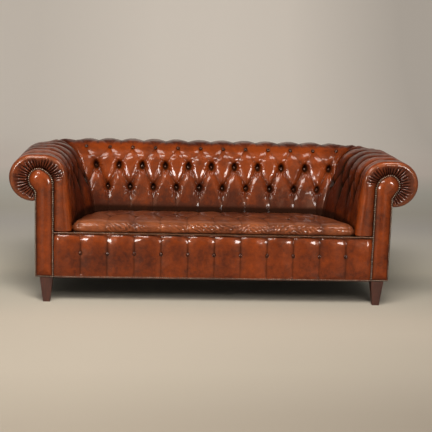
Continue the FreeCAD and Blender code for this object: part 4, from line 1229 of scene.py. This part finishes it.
for side, hand in SIDES:
    ring = facing_outline(4.4)
    line = stacked(side * ring[:, 0], FACING_BACK - 12.2, ring[:, 1])
    drive(along(np.concatenate([line, line[:1]]))[:-1], (0.0, -1.0, 0.0))
drive(along([(x, FRONT + 7.6, 130.6) for x in (-APRON_HALF + 6, APRON_HALF - 6)]), (0.0, -1.0, 0.0))
for side, hand in SIDES:
    corner = (side * NAIL_SIDE, NAIL_CORNER, NAIL_Z)
    drive(along([(side * NAIL_SIDE, BOARD_BACK + 5, NAIL_Z), corner]), (side, 0.0, 0.0))
    drive(along([corner, (side * NAIL_SIDE, NAIL_CORNER, 496.0)]), (side, 0.0, 0.0))
drive(along([(x, NAIL_REAR, NAIL_Z) for x in (-866.0, 866.0)]), (0.0, 1.0, 0.0))
scatter("nails", dome(4.2, 2.3, 3, 10), nails, brass, "front_banding")


# Carried-over nodes: better materials and softened edges

FRONT_BOARDS = ("arm_front_board_left", "arm_front_board_right")
DRESSES = (
    (beech["X"], ("back_tacking_rail", "back_top_rail", "corner_blocks", "front_rail", "rear_rail")),
    (beech["Y"], ("arm_tacking_rail_left", "arm_tacking_rail_right", "arm_top_rail_left", "arm_top_rail_right",
                  "centre_stretcher", "side_rail_left", "side_rail_right")),
    (beech["Z"], ("back_centre_posts", "back_post_left", "back_post_right")),
    (steel, ("seat_springs", "seat_edge_wire", "leg_studs")),
    (leg_wood, ("leg_front_left", "leg_front_right", "leg_rear_left", "leg_rear_right")),
    (outside_leather, FRONT_BOARDS),
    (jute, ("back_webbing", "arm_webbing_left", "arm_webbing_right", "seat_webbing")),
)
for material, node_names in DRESSES:
    for node_name in node_names:
        nodes[node_name].data.materials.clear()
        nodes[node_name].data.materials.append(material)
BOARD_EDGE = 0.0022
for node_name in FRONT_BOARDS:
    bevel = nodes[node_name].modifiers.new("edges", "BEVEL")
    bevel.width = BOARD_EDGE
    bevel.segments = 3
    bevel.limit_method = "ANGLE"
    bevel.angle_limit = math.radians(40)


# Inner pads, woven sheets and outside panels


def refined(name, node_name, material, longest, uneven=0.0):
    """A soft piece over a node's form: finely divided, its surface pressed in unevenly."""
    work = bmesh.new()
    work.from_mesh(nodes[node_name].data)
    bmesh.ops.remove_doubles(work, verts=work.verts, dist=1e-6)
    for _ in range(9):
        wide = [e for e in work.edges if e.calc_length() > longest]
        if not wide:
            break
        bmesh.ops.subdivide_edges(work, edges=wide, cuts=1)
        bmesh.ops.triangulate(work, faces=[f for f in work.faces if len(f.verts) > 3])
    work.normal_update()
    places = np.array([v.co[:] for v in work.verts]) / MM
    ways = np.array([v.normal[:] for v in work.verts])
    x, y, z = places.T
    press = uneven * (0.5 + 0.5 * soft_noise(x + y, z + y, 55.0, 41))
    faces = [tuple(v.index for v in f.verts) for f in work.faces]
    work.free()
    dye_and_painted_light = np.tile((0.0, 0.4, 0.0), (len(places), 1))
    return make_object(name, places - ways * press[:, None], faces, material, dye_and_painted_light, [node_name])


for node_name in ("back_stuffing", "arm_stuffing_left", "arm_stuffing_right", "seat_stuffing", "front_border_padding"):
    refined("pad_of_" + node_name, node_name, fibre, 0.030, 2.5)

SHEETS = (
    ("back_hessian", 1.5344, 0.2835, ("back_top_rail", "back_tacking_rail")),
    ("arm_hessian_left", 0.6029, 0.2792, ("arm_top_rail_left", "arm_tacking_rail_left")),
    ("arm_hessian_right", 0.6029, 0.2792, ("arm_top_rail_right", "arm_tacking_rail_right")),
    ("seat_hessian", 1.380, 0.5197, ("seat_edge_wire", "seat_springs")),
)
for node_name, width, length, rests in SHEETS:
    sheet = refined("cloth_of_" + node_name, node_name, hessian, 0.040)
sheet = refined("cloth_of_dust_cover", "dust_cover", lining, 0.040)

PANEL_SIDE = 872.0
PANEL_REAR = 317.0
PANEL_TOP = 500.5


def make_panel(name, node_name, wide, placed, seed):
    """An outside leather panel: stretched, slightly wavy, turned in at its edges."""
    us = np.linspace(wide[0], wide[1], int((wide[1] - wide[0]) / 9) + 1)
    U, Z = np.meshgrid(us, np.linspace(LEG_HEIGHT, PANEL_TOP, 44), indexing="ij")
    edge = np.minimum(np.minimum(U - wide[0], wide[1] - U), np.minimum(Z - LEG_HEIGHT, PANEL_TOP - Z))
    out = 4.5 - 2.6 * np.exp(-edge / 2.5) - 0.7 * np.exp(-(((edge - 9.0) / 4.0) ** 2))
    out = out + 0.45 * soft_noise(U, Z, 120.0, seed) * rise(edge, 4.0, 40.0)
    verts = np.concatenate([placed(U, height, Z).reshape(-1, 3) for height in (out, 0.0)])
    n, m = U.shape
    under = n * m
    faces = []
    for i in range(n - 1):
        for a in range(i * m, i * m + m - 1):
            b = under + a
            faces += [(a, a + m, a + m + 1, a + 1), (b, b + 1, b + m + 1, b + m)]
    border = [i * m for i in range(n)] + [(n - 1) * m + j for j in range(1, m)]
    border += [i * m + m - 1 for i in range(n - 2, -1, -1)] + list(range(m - 2, 0, -1))
    faces += [(b, a, under + a, under + b) for a, b in zip(border, border[1:] + border[:1])]
    # darker towards the edges, with painted shade where they turn in
    tone = 0.35 + 0.2 * soft_noise(U, Z, 160.0, seed + 1) + 0.25 * np.exp(-edge / 30.0)
    colour = stacked(0.75 * np.exp(-edge / 5.0), tone, 0.0).reshape(-1, 3)
    make_object(name, verts, faces, outside_leather, np.concatenate([colour, colour]), [node_name])


for side, hand in SIDES:
    make_panel("outside_arm_" + hand, "outside_arm_panel_" + hand, (BOARD_BACK, 322.0),
               lambda u, out, z, side=side: stacked(side * (PANEL_SIDE + out), u, z), 60 + side)
make_panel("outside_back", "outside_back_panel", (-871.7, 871.7),
           lambda u, out, z: stacked(u, PANEL_REAR + out, z), 65)


# Studio: seamless floor and backdrop, soft lights, camera

# The paper's colour with painted light and shade from the front edge to the wall, and the wall's painted light: Y in
# metres, colour
FLOOR_TINT_AND_PAINTED_LIGHT = (
    (-2.04, (0.40, 0.342, 0.271)),
    (-1.43, (0.507, 0.44, 0.354)),
    (-0.70, (0.565, 0.49, 0.394)),
    (-0.05, (0.52, 0.479, 0.394)),
    (0.28, (0.70, 0.64, 0.52)),
    (1.60, (0.62, 0.575, 0.519)),
    (2.18, (0.55, 0.50, 0.42)),
)
PAINTED_GLOW_STOPS = (
    (1.60, (0.0, 0.0, 0.0)),
    (3.10, (0.135, 0.133, 0.118)),
    (4.28, (0.273, 0.229, 0.202)),
    (6.60, (0.341, 0.302, 0.265)),
)
# How the wall's painted light spreads from left to right: X in metres, brightness
PAINTED_WALL_SPREAD = ((-1.8, 0.862), (-0.25, 0.99), (0.63, 0.997), (1.5, 0.963), (3.05, 0.676))
PAINTED_WALL_GAIN = 1.16
# The sweep in metres: half its width, its front, the foot and radius of its curve, its height
SWEEP_HALF, SWEEP_FRONT, SWEEP_FOOT, SWEEP_RADIUS, SWEEP_TOP = 12.0, -14.0, 6.6, 2.6, 9.0


def ramp_of(add, value, stops, low, high):
    """A colour that follows a value through stops (value, colour)."""
    ramp = add("ShaderNodeValToRGB")
    feed(ramp.inputs[0], ranged(add, value, low, high))
    elements = ramp.color_ramp.elements
    while len(elements) < len(stops):
        elements.new(0.5)
    for element, (place, colour) in zip(elements, stops):
        element.position = (place - low) / (high - low)
        element.color = (*colour, 1.0)
    return ramp.outputs[0]


def backdrop_material():
    """Paper whose colour carries painted light and shade, lighter near the sofa and darker towards the front and the
    right, and which is lit up far behind the sofa with painted light that only the camera and reflections see.
    """
    mat, add, where, shade = node_material("backdrop_paper_painted_light")
    x, y, _ = add("ShaderNodeSeparateXYZ", Vector=where).outputs
    near = ranged(add, y, -1.9, -0.9, 1.0, 0.0)
    # painted shade: darker towards the right, most near the front
    near_side = mixed(add, near, (1.0, 1.0, 1.0), ranged(add, x, -1.0, 0.9, 1.0, 0.74))
    side = times(add, ranged(add, x, -0.6, 2.6, 1.0, 0.8), near_side)
    spread = ramp_of(add, x, [(place, (b, b, b)) for place, b in PAINTED_WALL_SPREAD], -1.8, 3.05)
    side = mixed(add, ranged(add, y, 3.1, 5.8), side, times(add, spread, (PAINTED_WALL_GAIN, PAINTED_WALL_GAIN, PAINTED_WALL_GAIN)))
    paper, painted_glow = (times(add, ramp_of(add, y, stops, -3.0, 9.5), side) for stops in (FLOOR_TINT_AND_PAINTED_LIGHT, PAINTED_GLOW_STOPS))
    rays = add("ShaderNodeLightPath").outputs
    # the painted light on the wall shows only to the camera and in reflections
    seen = summed(add, rays["Is Camera Ray"], rays["Is Glossy Ray"], "MAXIMUM")
    shade({
        "Base Color": paper,
        "Emission Color": mixed(add, seen, (0.0, 0.0, 0.0), painted_glow),
        "Emission Strength": 1.0,
        "Roughness": 0.85,
        "Specular IOR Level": 0.1,
    })
    return mat


def make_stage():
    """A floor that sweeps up into a backdrop far behind the sofa."""
    line = [(SWEEP_FRONT, 0.0), (SWEEP_FOOT, 0.0)]
    for k in range(1, 25):
        turn = math.pi / 2 * k / 24
        line.append((SWEEP_FOOT + SWEEP_RADIUS * math.sin(turn), SWEEP_RADIUS - SWEEP_RADIUS * math.cos(turn)))
    line.append((SWEEP_FOOT + SWEEP_RADIUS, SWEEP_TOP))
    n = len(line)
    mesh = bpy.data.meshes.new("floor_sweep")
    mesh.from_pydata(
        [(x, y, z) for x in (-SWEEP_HALF, SWEEP_HALF) for y, z in line], [],
        [(k, k + 1, n + k + 1, n + k) for k in range(n - 1)],
    )
    mesh.polygons.foreach_set("use_smooth", [True] * len(mesh.polygons))
    mesh.materials.append(backdrop_material())
    obj = bpy.data.objects.new("floor_sweep", mesh)
    bpy.context.scene.collection.objects.link(obj)


make_stage()

# Soft rectangular lamps: place, target, width and height in metres, power, and the rays that miss them
SOFA_MIDDLE, SOFA_BACK = (0.0, 0.0, 0.45), (0.0, 0.0, 0.55)
LAMPS = (
    ("key", (-0.6, -3.0, 4.2), SOFA_MIDDLE, 3.4, 1.6, 230.0, "visible_glossy"),
    ("fill", (1.2, -4.2, 2.9), SOFA_MIDDLE, 2.0, 1.4, 60.0, "visible_glossy"),
    ("card_left", (-2.3, -4.2, 0.95), SOFA_BACK, 0.8, 0.75, 140.0, "visible_diffuse"),
    ("card_right", (2.2, -4.2, 0.95), SOFA_BACK, 0.8, 0.75, 120.0, "visible_diffuse"),
    ("card_high", (-1.3, -3.6, 2.7), SOFA_BACK, 1.5, 0.6, 95.0, "visible_diffuse"),
    ("card_above_left", (-1.3, -1.5, 2.9), SOFA_BACK, 1.1, 0.7, 45.0, "visible_diffuse"),
    ("card_above_right", (1.35, -1.5, 2.9), SOFA_BACK, 1.1, 0.7, 45.0, "visible_diffuse"),
)
for name, place, target, width, height, power, missed_by in LAMPS:
    data = bpy.data.lights.new(name, "AREA")
    data.shape = "RECTANGLE"
    data.size, data.size_y = width, height
    data.energy = power
    data.color = (1.0, 0.97, 0.93)
    lamp = bpy.data.objects.new(name, data)
    bpy.context.scene.collection.objects.link(lamp)
    lamp.location = place
    lamp.rotation_euler = (Vector(target) - Vector(place)).to_track_quat("-Z", "Y").to_euler()
    setattr(lamp, missed_by, False)

ROOM_LIGHT = 0.14
world = bpy.data.worlds.new("studio")
bpy.context.scene.world = world
world.use_nodes = True
background = world.node_tree.nodes["Background"]
feed(background.inputs["Color"], (0.93, 0.92, 0.90))
feed(background.inputs["Strength"], ROOM_LIGHT)

CAMERA_PLACE = (-0.3253, -5.4564, 1.3902)
YAW, PITCH, TILT = 0.0654, 0.1855, 0.0291
camera_data = bpy.data.cameras.new("camera")
camera_data.sensor_width = 36.0
camera_data.lens = 87.19
camera = bpy.data.objects.new("camera", camera_data)
bpy.context.scene.collection.objects.link(camera)
forward = Vector((math.sin(YAW) * math.cos(PITCH), math.cos(YAW) * math.cos(PITCH), -math.sin(PITCH)))
level = Vector((math.cos(YAW), -math.sin(YAW), 0.0))
upright = level.cross(forward)
right = math.cos(TILT) * level + math.sin(TILT) * upright
above = -math.sin(TILT) * level + math.cos(TILT) * upright
pose = Matrix((right, above, -forward)).transposed().to_4x4()
pose.translation = CAMERA_PLACE
camera.matrix_world = pose
bpy.context.scene.camera = camera
bpy.context.scene.view_settings.view_transform = "Standard"
